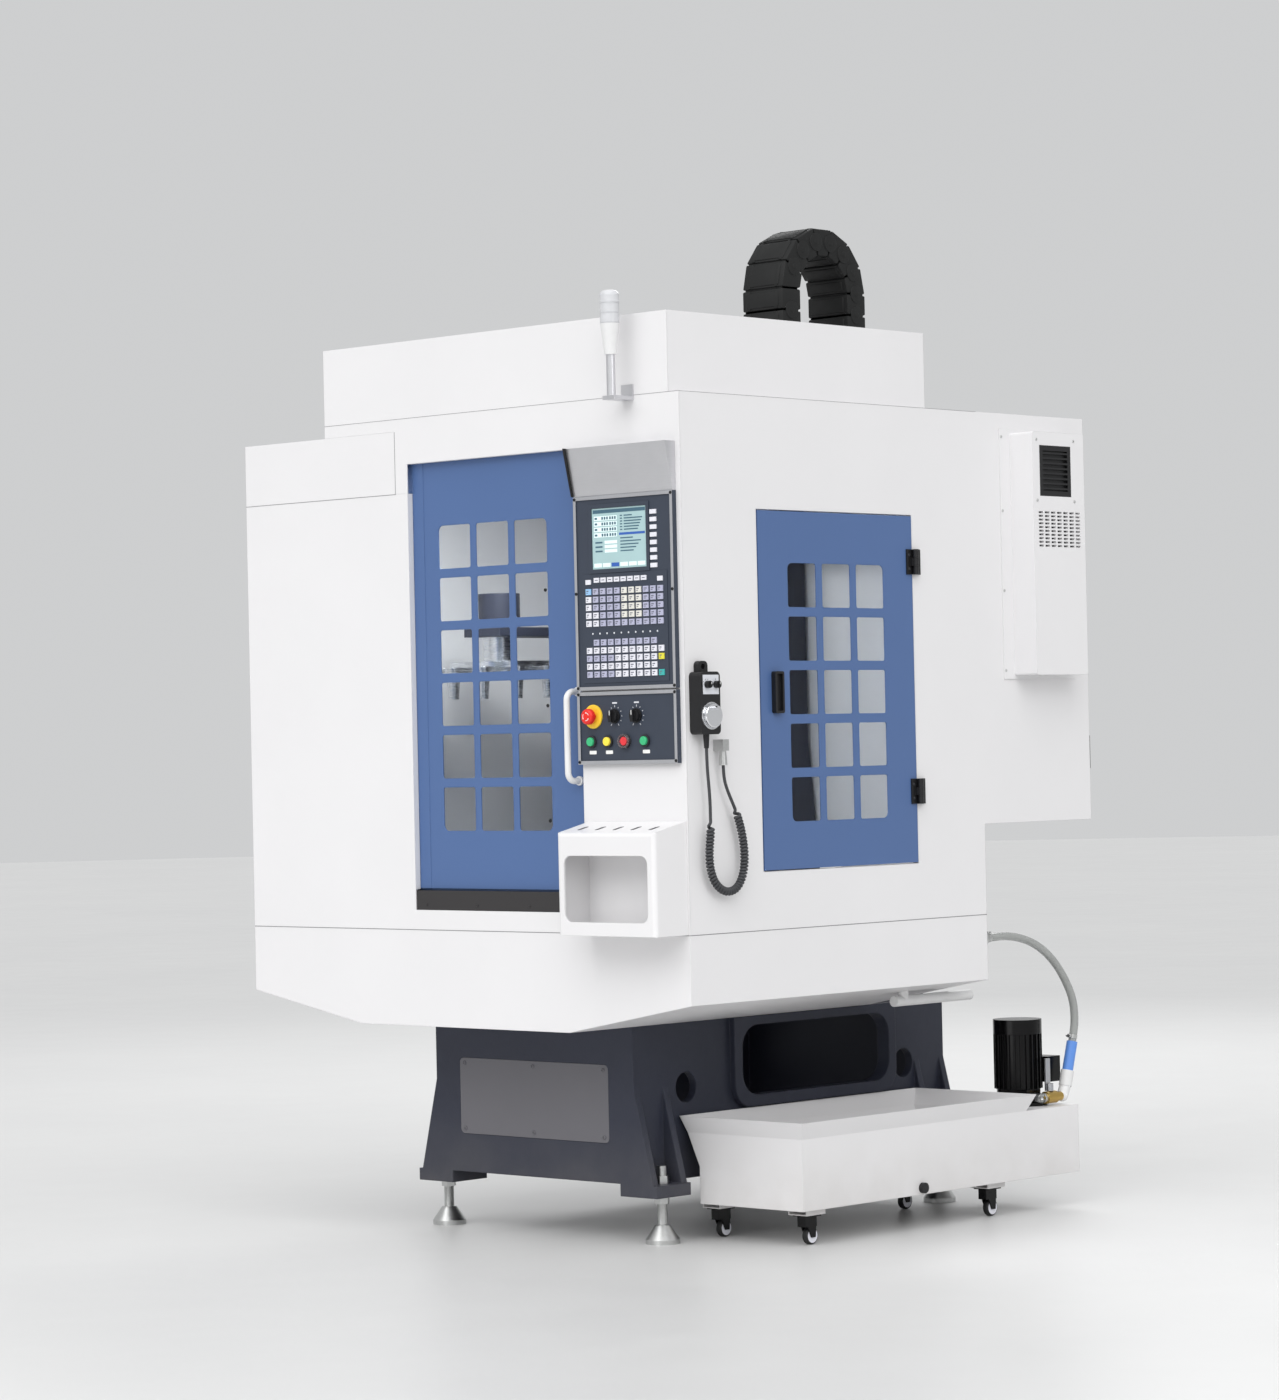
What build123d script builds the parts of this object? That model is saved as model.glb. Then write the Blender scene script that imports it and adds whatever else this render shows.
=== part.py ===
from build123d import *
import math
import os

os.makedirs("parts", exist_ok=True)

# Sizes are millimetres, X to the operator's right, Y to the back, Z up from the floor.

# General
sheet = 3
cut_over = 20
slide_gap = 0.5
turn_gap = 0.4
fit_gap = 1

# Enclosure
enclosure_width = 1620
enclosure_right = 770
enclosure_front = -760
lower_depth = 1170
apron_bottom = 644
apron_height = 174
side_height = 1345
roof_height = 203
left_drop = 33
pan_drop = 79
pan_slope_width = 423
pan_hole_gap = 5
roof_left_inset = 324
roof_right_inset = 36
roof_depth = 1000
hem = 15
left_cover_width = 596
left_cover_height = 165

# Electrical cabinet
cabinet_depth = 470
cabinet_bottom = 1060
cabinet_door_width = 644
cabinet_door_tray = 25
cabinet_hem = 30
cabinet_hinge_radius = 6
cabinet_hinge_inset = 14
cabinet_hinge_length = 90
cabinet_hinge_margin = 140
cabinet_leaf = 26
mount_plate = 6
drive_height = 360
drive_width = 90
drive_depth = 180
drive_count = 4
drive_pitch = 130
drive_bottom = 1420
cabinet_lock_radius = 14
cabinet_lock_height = 6
cabinet_lock_inset = 40

# Cabinet cooler
cooler_flange_front = 506
cooler_flange_width = 314
cooler_from_top = 42
cooler_flange_height = 675
cooler_side_margin = 44
cooler_end_margin = 10
cooler_depth = 80
cooler_corner = 6
filter_size = 137
filter_frame = 14
filter_depth = 8
filter_from_top = 36
filter_from_front = 30
filter_bar = 5
filter_bar_count = 8
slot_columns = 7
slot_rows = 10
slot_width = 20
slot_height = 5
slot_pitch_y = 27
slot_pitch_z = 10
slot_depth = 10
slots_below_filter = 44

# Main sliding door
door_opening_left = -208
door_opening_width = 623
door_opening_bottom = 870
door_header = 121
door_recess = 20
door_depth = 25
door_overlap_left = 22
door_overlap_right = 25
door_overlap_top = 16
door_bottom_gap = 56
door_fold = 40
door_fold_depth = 3
door_pane_bar_x = 22
door_pane_bar_z = 24
door_pane_columns = 3
door_pane_rows = 6
door_pane_left = 115
door_pane_right = 157
door_pane_bottom = 151
door_pane_top = 183
pane_corner = 6
pane_outer_corner = 16
glass = 4
glass_margin = 14
track_height = 51
track_depth = 55
track_left_margin = 25
tongue_width = 8
tongue_depth = 26
handle_from_right = 55
handle_bottom = 1203
handle_length = 226
handle_standoff = 44
handle_radius = 8
handle_foot_radius = 12
handle_foot = 6

# Side door
side_door_front = -480
side_door_width = 606
side_door_bottom = 968
side_door_height = 907
side_door_depth = 24
side_door_proud = 2
side_door_gap = 3
side_pane_bar_y = 24
side_pane_bar_z = 24
side_pane_columns = 3
side_pane_rows = 5
side_pane_front = 110
side_pane_rear = 118
side_pane_bottom = 120
side_pane_top = 131
side_reveal = 20
hinge_from_bottom = 153
hinge_from_top = 87
hinge_length = 66
hinge_knuckle_radius = 8
hinge_pin_radius = 3
hinge_leaf = 26
hinge_leaf_thickness = 4
hinge_gap = 0.6
pull_width = 34
pull_height = 106
pull_depth = 14
pull_recess = 8
pull_wall = 6
pull_from_front = 40
pull_rise = 395

# Base casting
base_width = 734
base_front = -508
base_length = 1263
base_bottom = 155
base_wall = 25
stage_width = 600
stage_height = 75
stage_front_inset = 73
lug_reach = 442
lug_width = 130
lug_depth = 128
lug_thickness = 32
gusset_height = 245
gusset_reach = 62
gusset_thickness = 20
window_front = -135
window_length = 664
window_bottom = 324
window_frame = 30
window_frame_proud = 18
window_corner = 60
lift_hole_radius = 40
lift_hole_height = 393
lift_hole_front_inset = 199
lift_hole_rear_inset = 176
front_plate_width = 551
front_plate_bottom = 258
front_plate_height = 203
front_plate_thickness = 5
front_plate_corner = 14
plate_seat_gap = 0.5

# Levelling feet
foot_reach = 397
foot_front_inset = 66
foot_rear_inset = 66
foot_pad_radius = 45
foot_pad_rim = 12
foot_cone_top = 48
foot_neck_radius = 20
foot_screw_radius = 13
foot_screw_above = 46
foot_nut_width = 40
foot_nut_height = 20

# Column
column_foot_width = 520
column_width = 400
column_front = 130
column_depth = 270
column_top = 2120
column_taper_top = 1300
column_wall = 30
column_floor = 60

# Guide rails
rail_width = 34
rail_height = 30
y_rail_spacing = 360
y_rail_front = -430
y_rail_length = 530
z_rail_spacing = 280
z_rail_bottom = 1250
z_rail_length = 850
runner_length = 90
runner_margin = 18
runner_lift = 8

# Saddle and table
axis_y = -200
saddle_width = 520
saddle_length = 360
saddle_thickness = 90
saddle_bottom = 690
x_rail_spacing = 240
x_rail_height = 25
table_width = 650
table_length = 380
table_thickness = 60
table_runner_clear = 50
t_slot_count = 3
t_slot_pitch = 110
t_slot_neck = 14
t_slot_neck_depth = 14
t_slot_head = 24
t_slot_head_depth = 11

# Spindle head
carriage_width = 380
carriage_depth = 40
carriage_bottom = 1540
carriage_height = 440
carriage_gap = 44
head_width = 240
head_bottom = 1450
head_height = 400
cartridge_radius = 75
cartridge_length = 80
motor_width = 180
motor_height = 270
motor_corner = 25
motor_cap_radius = 70
motor_cap_height = 30
spindle_nose_radius = 44
spindle_nose_height = 34
spindle_shaft_radius = 30
spindle_shaft_length = 230
taper_mouth_radius = 16
taper_end_radius = 9
taper_depth = 48
drive_key_width = 16
drive_key_height = 8
drive_key_depth = 12

# Tool drum
drum_x = -490
drum_y = -150
drum_bottom = 1500
drum_height = 30
drum_radius = 140
drum_hub_radius = 46
drum_shaft_radius = 20
drum_window_radius = 22
drum_window_circle = 85
drum_window_count = 6
gripper_count = 12
gripper_reach = 45
gripper_width = 44
gripper_height = 14
holder_radius = 22
holder_flange = 12
holder_length = 70
holder_tip_radius = 12
drum_arm_thickness = 25
drum_arm_width = 140
drum_arm_bottom = 1600
drum_arm_root = 180
drum_arm_front = 70
drum_arm_setback = 20
drum_arm_corner = 130
drum_motor_radius = 58
drum_motor_height = 95
drum_shaft_seat = 50

# Cable chain
chain_left = 215
chain_width = 150
chain_front = 100
chain_span = 350
chain_thickness = 80
chain_rise = 324
chain_bracket_height = 20
chain_bracket_reach = 80
chain_bracket_drop = 80
chain_arc_links = 7
chain_leg_pitch = 60
chain_overlap = 9
chain_step = 5
chain_slot_margin = 12

# Control panel
panel_width = 341
panel_right_inset = 16
panel_bottom = 1430
panel_height = 488
panel_depth = 12
panel_rim = 9
panel_rim_height = 3
operator_height = 182
operator_gap = 4
hood_height = 122
hood_proud = 26
screen_left = 62
screen_width = 188
screen_from_top = 32
screen_height = 153
screen_depth = 6
screen_bezel = 10
screen_bezel_height = 3
keypad_left = 25
keypad_width = 292
keypad_bottom = 18
keypad_height = 274
keypad_thickness = 1.5
key_width = 18
key_height = 15
key_rise = 2.5
key_pitch_x = 24.7
key_pitch_z = 20
key_columns = 11
key_rows = 5
key_left = 14
key_block_bottoms = (14, 142)
lower_block_left_out = ((4, 0), (4, 10), (1, 10))
soft_key_row = 252
soft_key_count = 8
soft_key_left = 43
soft_key_pitch = 23.2
soft_key_height = 12
end_key_row = 248
side_key_count = 8
side_key_left = 263
side_key_width = 22
side_key_size = 11
side_key_pitch = 19
side_key_bottom = 300

# Operator panel controls
estop_offset = 55
control_row = 120
feed_knob_offset = 128
spindle_knob_offset = 203
button_offsets = (48, 105, 165, 232)
button_row = 57
button_radius = 11
button_length = 19.5
button_proud = 12
collar_wall = 4
collar_height = 6
estop_radius = 20
estop_head = 14
estop_stem_radius = 10
estop_neck = 12
estop_stem_clear = 6
estop_collar_radius = 30
estop_collar_height = 4
knob_radius = 15
knob_height = 16
knob_skirt = 4
knob_skirt_radius = 18
knob_grip = 9
knob_stem_radius = 5
knob_stem = 9
guard_wall = 2
guard_height = 14

# Tool tray
tray_right_inset = 5
tray_width = 335
tray_depth = 118
tray_bottom = 819
tray_height = 255
tray_wall = 25
tray_lip = 34
tray_top = 56
tray_rise = 26
tray_round = 12
tray_shell = 6
tray_corner = 22
tray_back = 8
tray_slot_count = 5
tray_slot_length = 36
tray_slot_width = 13
tray_slot_pitch = 61
tray_slot_setback = 50

# Signal lamp
lamp_x = 598
lamp_offset = 60
lamp_pole_radius = 11
lamp_drop = 13
lamp_pole_length = 112
lamp_base_height = 78
lamp_base_foot_radius = 15
lamp_radius = 24
lamp_lens_height = 82
lamp_bracket_height = 40
lamp_bracket_width = 40

# Hand pendant
pendant_front = -745
pendant_width = 70
pendant_depth = 40
pendant_bottom = 1313
pendant_height = 155
pendant_corner = 12
pendant_hook_height = 27
pendant_hook_width = 34
pendant_hook_depth = 16
pendant_hook_hole = 7
pendant_plate_height = 48
pendant_plate_margin = 7
pendant_plate_rise = 2
pendant_plate_top = 8
pendant_knob_radius = 9
pendant_knob_height = 12
pendant_knob_stem_radius = 3
pendant_knob_stem = 8
pendant_knob_spacing = 32
pendant_dial_radius = 30
pendant_dial_height = 9
pendant_dial_stem_radius = 6
pendant_dial_stem = 12
pendant_dial_z = 46
pendant_dial_flange = 34
pendant_dial_flange_rise = 3
pendant_crank_radius = 5
pendant_crank_circle = 19
pendant_crank_height = 14
pendant_relief_radius = 8
pendant_relief_tip_radius = 6
gland_radius = 11
gland_tip_radius = 8
gland_length = 36
gland_nut = 28
cord_radius = 4
coil_radius = 11
bend_share = 0.45

# Pendant cord routes
cord_route = (
    (792, -710, 1279), (792, -710, 1237), (793, -706, 1193), (793, -702, 1149), (793, -702, 1106),
)
coil_route = (
    (793, -702, 1106), (793, -702, 1068), (793, -709, 1026), (793, -708, 982), (793, -690, 942),
    (793, -652, 920), (793, -612, 926), (793, -586, 958), (793, -578, 1002), (793, -582, 1046),
    (793, -594, 1090), (793, -612, 1130), (793, -634, 1166), (792, -650, 1202), (792, -650, 1236),
)

# Coolant tank
tank_right = 740
tank_front = -326
tank_length = 1156
tank_bottom = 93
tank_wall_height = 184
tank_floor_width = 355
tank_flare = 40
tank_flare_start = 97
tank_lip_height = 44
tank_lip_reach = 20
tank_lip_left_reach = 10
tank_open_length = 926
pump_deck_width = 300
bracket_width = 62
bracket_depth = 74
bracket_height = 15
plug_radius = 14
plug_length = 12
plug_y = 150
plug_rise = 18

# Casters
caster_x = (392, 690)
caster_y = (-255, 486)
caster_plate = 4
caster_plate_size = 52
caster_wheel_radius = 23
caster_wheel_width = 18
caster_axle_radius = 4
caster_fork_wall = 3
caster_fork_width = 26
caster_trail = 10
caster_side_gap = 1

# Coolant pump and fittings
pump_x = 605
pump_y = 740
pump_radius = 67
pump_body_radius = 60
pump_height = 236
pump_flange = 10
pump_flange_radius = 80
pump_fin_count = 24
pump_fin_width = 4
pump_cap_height = 40
pump_box_width = 60
pump_box_depth = 44
pump_box_height = 70
pump_box_bottom = 60
pipe_radius = 13
pipe_z = 300
pipe_x = 700
outlet_base_height = 46
outlet_base_width = 60
valve_front = 735
valve_length = 44
valve_radius = 17
valve_stem_radius = 5
valve_stem_height = 20
lever_length = 88
lever_width = 20
lever_thickness = 5
elbow_y = 812
elbow_radius = 16
coupling_top = (703, 858, 446)
coupling_bottom = (700, 826, 326)
coupling_radius = 15
coupling_nut_radius = 18
coupling_nut_share = 0.35
hose_radius = 11
hose_inlet_x = 742
hose_inlet_z = 752
hose_inlet_radius = 17
hose_route = (
    (742, 434, 752), (741, 490, 755), (739, 545, 753), (736, 602, 744), (732, 658, 728),
    (728, 712, 703), (723, 762, 670), (718, 806, 629), (714, 842, 582), (711, 858, 548),
    (708, 865, 514), (705, 866, 480), (703, 858, 446),
)

# Drain pipe
drain_x = 640
drain_z = 596
drain_radius = 14
drain_bore = 11
drain_front = 170
drain_length = 320
drain_stub = 40

# Places that follow from the sizes
enclosure_left = enclosure_right - enclosure_width
mid_x = (enclosure_left + enclosure_right) / 2
enclosure_rear = enclosure_front + lower_depth
seam_z = apron_bottom + apron_height
lower_top = seam_z + side_height
left_top = lower_top - left_drop
lamp_pole_bottom = lower_top - lamp_drop
lamp_base_bottom = lamp_pole_bottom + lamp_pole_length
roof_top = lower_top + roof_height
roof_left = enclosure_left + roof_left_inset
roof_right = enclosure_right - roof_right_inset
roof_rear = enclosure_front + roof_depth
pan_bottom = apron_bottom - pan_drop
front_inner = enclosure_front + sheet
right_inner = enclosure_right - sheet
left_inner = enclosure_left + sheet
left_cover_right = enclosure_left + left_cover_width
left_cover_bottom = left_top - left_cover_height
cabinet_rear = enclosure_rear + cabinet_depth
door_opening_right = door_opening_left + door_opening_width
door_opening_top = lower_top - door_header
base_rear = base_front + base_length
base_top = pan_bottom
stage_top = base_top + stage_height
lug_bottom = base_bottom - lug_thickness
base_left = mid_x - base_width / 2
base_right = mid_x + base_width / 2
panel_right = enclosure_right - panel_right_inset
panel_left = panel_right - panel_width
panel_face = enclosure_front - panel_depth
operator_bottom = panel_bottom - operator_gap - operator_height
panel_top = panel_bottom + panel_height
door_face = enclosure_front + door_recess
door_left = door_opening_left - door_overlap_left
door_right = door_opening_right + door_overlap_right
door_bottom = door_opening_bottom + door_bottom_gap
door_top = door_opening_top + door_overlap_top
hinge_x = enclosure_right + side_door_proud + hinge_leaf_thickness + hinge_knuckle_radius
hinge_y = side_door_front + side_door_width + side_door_gap / 2
side_door_top = side_door_bottom + side_door_height
hinge_lows = (side_door_bottom + hinge_from_bottom, side_door_top - hinge_from_top - hinge_length)
cabinet_hinge_lows = (
    cabinet_bottom + cabinet_hinge_margin,
    lower_top - cabinet_hinge_margin - cabinet_hinge_length,
)
pull_bottom = side_door_bottom + pull_rise
cooler_flange_bottom = lower_top - cooler_from_top - cooler_flange_height
door_panes_width = door_right - door_left - door_pane_left - door_pane_right
door_panes_height = door_top - door_bottom - door_pane_bottom - door_pane_top
side_panes_width = side_door_width - side_pane_front - side_pane_rear
side_panes_height = side_door_height - side_pane_bottom - side_pane_top
tank_rear = tank_front + tank_length
tank_top = tank_bottom + tank_wall_height
tank_left = tank_right - tank_floor_width
tank_open_rear = tank_front + tank_open_length
chain_top = roof_top + chain_rise
chain_rear = chain_front + chain_span
chain_right = chain_left + chain_width
chain_mid_y = (chain_front + chain_rear) / 2
chain_turn_z = chain_top - chain_span / 2
carriage_top = carriage_bottom + carriage_height
carriage_front = column_front - carriage_gap - carriage_depth
x_rail_bottom = saddle_bottom + saddle_thickness
table_bottom = x_rail_bottom + table_runner_clear
saddle_front = axis_y - saddle_length / 2
foot_places = [
    (mid_x + side * foot_reach, y)
    for side in (-1, 1)
    for y in (base_front + foot_front_inset, base_rear - foot_rear_inset)
]


def block(x, y, z):
    """A box between pairs of coordinates."""
    middle = Pos((x[0] + x[1]) / 2, (y[0] + y[1]) / 2, (z[0] + z[1]) / 2)
    return middle * Box(x[1] - x[0], y[1] - y[0], z[1] - z[0])


def around(middle, width):
    """The two ends of a width about a middle."""
    return (middle - width / 2, middle + width / 2)


def rod_x(radius, x, y, z):
    """A round bar along X between the two ends in x."""
    return Pos((x[0] + x[1]) / 2, y, z) * Rot(0, 90, 0) * Cylinder(radius, x[1] - x[0])


def rod_y(radius, x, y, z):
    """A round bar along Y between the two ends in y."""
    return Pos(x, (y[0] + y[1]) / 2, z) * Rot(90, 0, 0) * Cylinder(radius, y[1] - y[0])


def rod_z(radius, x, y, z):
    """A round bar along Z between the two ends in z."""
    return Pos(x, y, (z[0] + z[1]) / 2) * Cylinder(radius, z[1] - z[0])


def rod_between(start, end, radius):
    """A round bar from one point to another."""
    run = Vector(*end) - Vector(*start)
    return Solid.make_cylinder(radius, run.length, Plane(origin=start, z_dir=run))


def prism_x(points, x):
    """A profile of (y, z) points drawn out along X."""
    profile = Plane.YZ.offset(x[0]) * Polygon(*points, align=None)
    return extrude(profile, x[1] - x[0], dir=(1, 0, 0))


def prism_y(points, y):
    """A profile of (x, z) points drawn out along Y."""
    profile = Plane.XZ.offset(-y[0]) * Polygon(*points, align=None)
    return extrude(profile, y[1] - y[0], dir=(0, 1, 0))


def prism_z(points, z):
    """A profile of (x, y) points drawn out along Z."""
    profile = Plane.XY.offset(z[0]) * Polygon(*points, align=None)
    return extrude(profile, z[1] - z[0], dir=(0, 0, 1))


def sketch_on_x(sketch, x, y, z):
    """A sketch centred at y, z and drawn out along X between the two ends in x."""
    face = Plane((x[0], y, z), x_dir=(0, 1, 0), z_dir=(1, 0, 0)) * sketch
    return extrude(face, x[1] - x[0], dir=(1, 0, 0))


def sketch_on_y(sketch, x, y, z):
    """A sketch centred at x, z and drawn out along Y between the two ends in y."""
    face = Plane((x, y[0], z), x_dir=(1, 0, 0), z_dir=(0, -1, 0)) * sketch
    return extrude(face, y[1] - y[0], dir=(0, 1, 0))


def cone_z(bottom_radius, top_radius, x, y, z):
    """A straight taper standing on Z."""
    return Pos(x, y, (z[0] + z[1]) / 2) * Cone(bottom_radius, top_radius, z[1] - z[0])


def pane_grid(columns, rows, whole_width, whole_height, bar_across, bar_up):
    """Window panes with small corners, and larger ones at the corners of the whole group."""
    width = (whole_width + bar_across) / columns - bar_across
    height = (whole_height + bar_up) / rows - bar_up
    panes = Sketch()
    for column in range(columns):
        for row in range(rows):
            across = (column - (columns - 1) / 2) * (width + bar_across)
            up = (row - (rows - 1) / 2) * (height + bar_up)
            panes += Pos(across, up) * RectangleRounded(width, height, pane_corner)
    return panes & RectangleRounded(whole_width, whole_height, pane_outer_corner)


def base_casting():
    """Hollow cast bed with framed side windows, lifting holes, foot lugs and gussets."""
    y_ends = (base_front, base_rear)
    body = block((base_left, base_right), y_ends, (base_bottom, base_top))
    body -= block(
        (base_left + base_wall, base_right - base_wall),
        (base_front + base_wall, base_rear - base_wall),
        (base_bottom - cut_over, base_top - base_wall),
    )
    stage_ends = (base_front + stage_front_inset, base_rear)
    body += block(around(mid_x, stage_width), stage_ends, (base_top, stage_top))
    body += base_lugs()
    body += window_frames()
    window_y = window_front + window_length / 2
    opening_height = base_top - base_wall - window_bottom - window_frame
    opening = RectangleRounded(window_length - 2 * window_frame, opening_height, window_corner)
    opening_z = window_bottom + window_frame + opening_height / 2
    across = (base_left - lug_width, base_right + lug_width)
    body -= sketch_on_x(opening, across, window_y, opening_z)
    for y in (base_front + lift_hole_front_inset, base_rear - lift_hole_rear_inset):
        body -= rod_x(lift_hole_radius, across, y, lift_hole_height)
    for x, y in foot_places:
        body -= rod_z(foot_screw_radius + turn_gap, x, y, (lug_bottom - cut_over, base_bottom + cut_over))
    body -= front_plate_solid(plate_seat_gap)
    return body


def base_lugs():
    """The four flared foot lugs with two gussets each."""
    lugs = Part()
    for side in (-1, 1):
        wall = mid_x + side * base_width / 2
        outer = mid_x + side * lug_reach
        inner = outer - side * lug_width
        for start in (base_front, base_rear - lug_depth):
            x_ends = (min(inner, outer), max(inner, outer))
            lugs += block(x_ends, (start, start + lug_depth), (lug_bottom, base_bottom))
            for y in (start, start + lug_depth - gusset_thickness):
                points = (
                    (wall, base_bottom),
                    (wall + side * gusset_reach, base_bottom),
                    (wall, base_bottom + gusset_height),
                )
                lugs += prism_y(points, (y, y + gusset_thickness))
    return lugs


def window_frames():
    """Raised ribs around the chip windows in both side walls."""
    y = window_front + window_length / 2
    height = base_top - window_bottom
    frame = RectangleRounded(window_length, height, window_corner)
    frame += Pos(0, height / 4) * Rectangle(window_length, height / 2)
    x_ends = (base_left - window_frame_proud, base_right + window_frame_proud)
    ribs = sketch_on_x(frame, x_ends, y, window_bottom + height / 2)
    inside = block(
        (base_left + base_wall / 2, base_right - base_wall / 2),
        (window_front - cut_over, window_front + window_length + cut_over),
        (window_bottom - cut_over, base_top + cut_over),
    )
    return ribs - inside


def front_plate_solid(gap):
    """The rounded cover in the bed's front wall, grown by a gap for its seat."""
    outline = RectangleRounded(
        front_plate_width + 2 * gap, front_plate_height + 2 * gap, front_plate_corner + gap
    )
    middle = front_plate_bottom + front_plate_height / 2
    return sketch_on_y(outline, mid_x, (base_front, base_front + front_plate_thickness), middle)


def levelling_feet():
    """Screw, conical pad and two lock nuts under each lug."""
    feet = []
    for x, y in foot_places:
        top = base_bottom + foot_screw_above
        foot = rod_z(foot_pad_radius, x, y, (0, foot_pad_rim))
        foot += cone_z(foot_pad_radius, foot_neck_radius, x, y, (foot_pad_rim, foot_cone_top))
        foot += rod_z(foot_screw_radius, x, y, (foot_cone_top, top))
        for low in (lug_bottom - foot_nut_height, base_bottom):
            nut = RegularPolygon(foot_nut_width / 2, 6)
            foot += Pos(x, y, low) * extrude(nut, foot_nut_height)
        feet.append(foot)
    return feet


def column():
    """Upright casting, open at the back, with the arm that carries the tool drum."""
    half_foot = column_foot_width / 2
    half = column_width / 2
    profile = (
        (mid_x - half_foot, stage_top), (mid_x + half_foot, stage_top),
        (mid_x + half, column_taper_top), (mid_x + half, column_top),
        (mid_x - half, column_top), (mid_x - half, column_taper_top),
    )
    y_ends = (column_front, column_front + column_depth)
    body = prism_y(profile, y_ends)
    body -= block(
        around(mid_x, column_width - 2 * column_wall),
        (column_front + column_wall, y_ends[1] + cut_over),
        (stage_top + column_floor, column_top - column_wall),
    )
    return body + drum_arm()


def drum_arm():
    """Cranked plate from the column's side to the drum's bearing, with the drum motor on top."""
    wall = mid_x - column_width / 2
    left, right = around(drum_x, drum_arm_width)
    front = drum_y - drum_arm_front
    root = column_front + drum_arm_setback
    points = (
        (wall, root), (right, root), (right, front), (left, front),
        (left, root + drum_arm_root - drum_arm_corner),
        (left + drum_arm_corner, root + drum_arm_root), (wall, root + drum_arm_root),
    )
    top = drum_arm_bottom + drum_arm_thickness
    arm = prism_z(points, (drum_arm_bottom, top))
    arm += rod_z(drum_motor_radius, drum_x, drum_y, (top, top + drum_motor_height))
    bore_z = (drum_arm_bottom - cut_over, top + drum_shaft_seat)
    return arm - rod_z(drum_shaft_radius + turn_gap, drum_x, drum_y, bore_z)


def guide_rails():
    """Two rails on the bed for the saddle and two on the column for the head."""
    rails = []
    y_ends = (y_rail_front, y_rail_front + y_rail_length)
    z_ends = (z_rail_bottom, z_rail_bottom + z_rail_length)
    for side in (-1, 1):
        x = mid_x + side * y_rail_spacing / 2
        rails.append(block(around(x, rail_width), y_ends, (stage_top, stage_top + rail_height)))
    for side in (-1, 1):
        x = mid_x + side * z_rail_spacing / 2
        rails.append(block(around(x, rail_width), (column_front - rail_height, column_front), z_ends))
    return rails


def saddle():
    """Cross slide with runners over the bed rails and the rails that carry the table."""
    y_ends = (saddle_front, saddle_front + saddle_length)
    body = block(around(mid_x, saddle_width), y_ends, (saddle_bottom, x_rail_bottom))
    block_width = rail_width + 2 * runner_margin
    for side in (-1, 1):
        x = mid_x + side * y_rail_spacing / 2
        for y in (y_ends[0], y_ends[1] - runner_length):
            runner_z = (stage_top + runner_lift, saddle_bottom)
            body += block(around(x, block_width), (y, y + runner_length), runner_z)
        groove_top = stage_top + rail_height + slide_gap
        groove_ends = (y_ends[0] - cut_over, y_ends[1] + cut_over)
        body -= block(around(x, rail_width + 2 * slide_gap), groove_ends, (stage_top, groove_top))
    solids = [body]
    for side in (-1, 1):
        y = axis_y + side * x_rail_spacing / 2
        rail_z = (x_rail_bottom, x_rail_bottom + x_rail_height)
        solids.append(block(around(mid_x, saddle_width), around(y, rail_width), rail_z))
    return solids


def table():
    """Work table with T-slots along X and runners over the saddle's rails."""
    x_ends = around(mid_x, table_width)
    top = table_bottom + table_thickness
    body = block(x_ends, around(axis_y, table_length), (table_bottom, top))
    long_ends = (x_ends[0] - cut_over, x_ends[1] + cut_over)
    for slot in range(t_slot_count):
        y = axis_y + (slot - (t_slot_count - 1) / 2) * t_slot_pitch
        neck_bottom = top - t_slot_neck_depth
        body -= block(long_ends, around(y, t_slot_neck), (neck_bottom, top + cut_over))
        body -= block(long_ends, around(y, t_slot_head), (neck_bottom - t_slot_head_depth, neck_bottom))
    block_width = rail_width + 2 * runner_margin
    for side in (-1, 1):
        y = axis_y + side * x_rail_spacing / 2
        for x in (mid_x - saddle_width / 2 + runner_length, mid_x + saddle_width / 2 - runner_length):
            runner_z = (x_rail_bottom + runner_lift, table_bottom)
            body += block(around(x, runner_length), around(y, block_width), runner_z)
        groove_top = x_rail_bottom + x_rail_height + slide_gap
        body -= block(long_ends, around(y, rail_width + 2 * slide_gap), (x_rail_bottom, groove_top))
    return body


def spindle_head():
    """Head casting with its carriage, spindle cartridge, spindle motor and cable bracket."""
    body = block(
        around(mid_x, carriage_width),
        (carriage_front, carriage_front + carriage_depth),
        (carriage_bottom, carriage_top),
    )
    block_width = rail_width + 2 * runner_margin
    runner_y = (carriage_front + carriage_depth, column_front - runner_lift)
    for side in (-1, 1):
        x = mid_x + side * z_rail_spacing / 2
        for z in (carriage_bottom, carriage_top - runner_length):
            body += block(around(x, block_width), runner_y, (z, z + runner_length))
        groove_y = (column_front - rail_height - slide_gap, column_front)
        groove_z = (carriage_bottom - cut_over, carriage_top + cut_over)
        body -= block(around(x, rail_width + 2 * slide_gap), groove_y, groove_z)
    head_z = (head_bottom, head_bottom + head_height)
    body += block(around(mid_x, head_width), (axis_y, carriage_front), head_z)
    body += rod_z(head_width / 2, mid_x, axis_y, head_z)
    body += rod_z(cartridge_radius, mid_x, axis_y, (head_bottom - cartridge_length, head_bottom))
    motor_z = head_z[1] + motor_height
    motor = Pos(mid_x, axis_y, head_z[1]) * RectangleRounded(motor_width, motor_width, motor_corner)
    body += extrude(motor, motor_height, dir=(0, 0, 1))
    body += rod_z(motor_cap_radius, mid_x, axis_y, (motor_z, motor_z + motor_cap_height))
    bore_z = (head_bottom - cartridge_length - cut_over, head_bottom + spindle_shaft_length)
    body -= rod_z(spindle_shaft_radius + turn_gap, mid_x, axis_y, bore_z)
    return body + cable_bracket()


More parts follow.
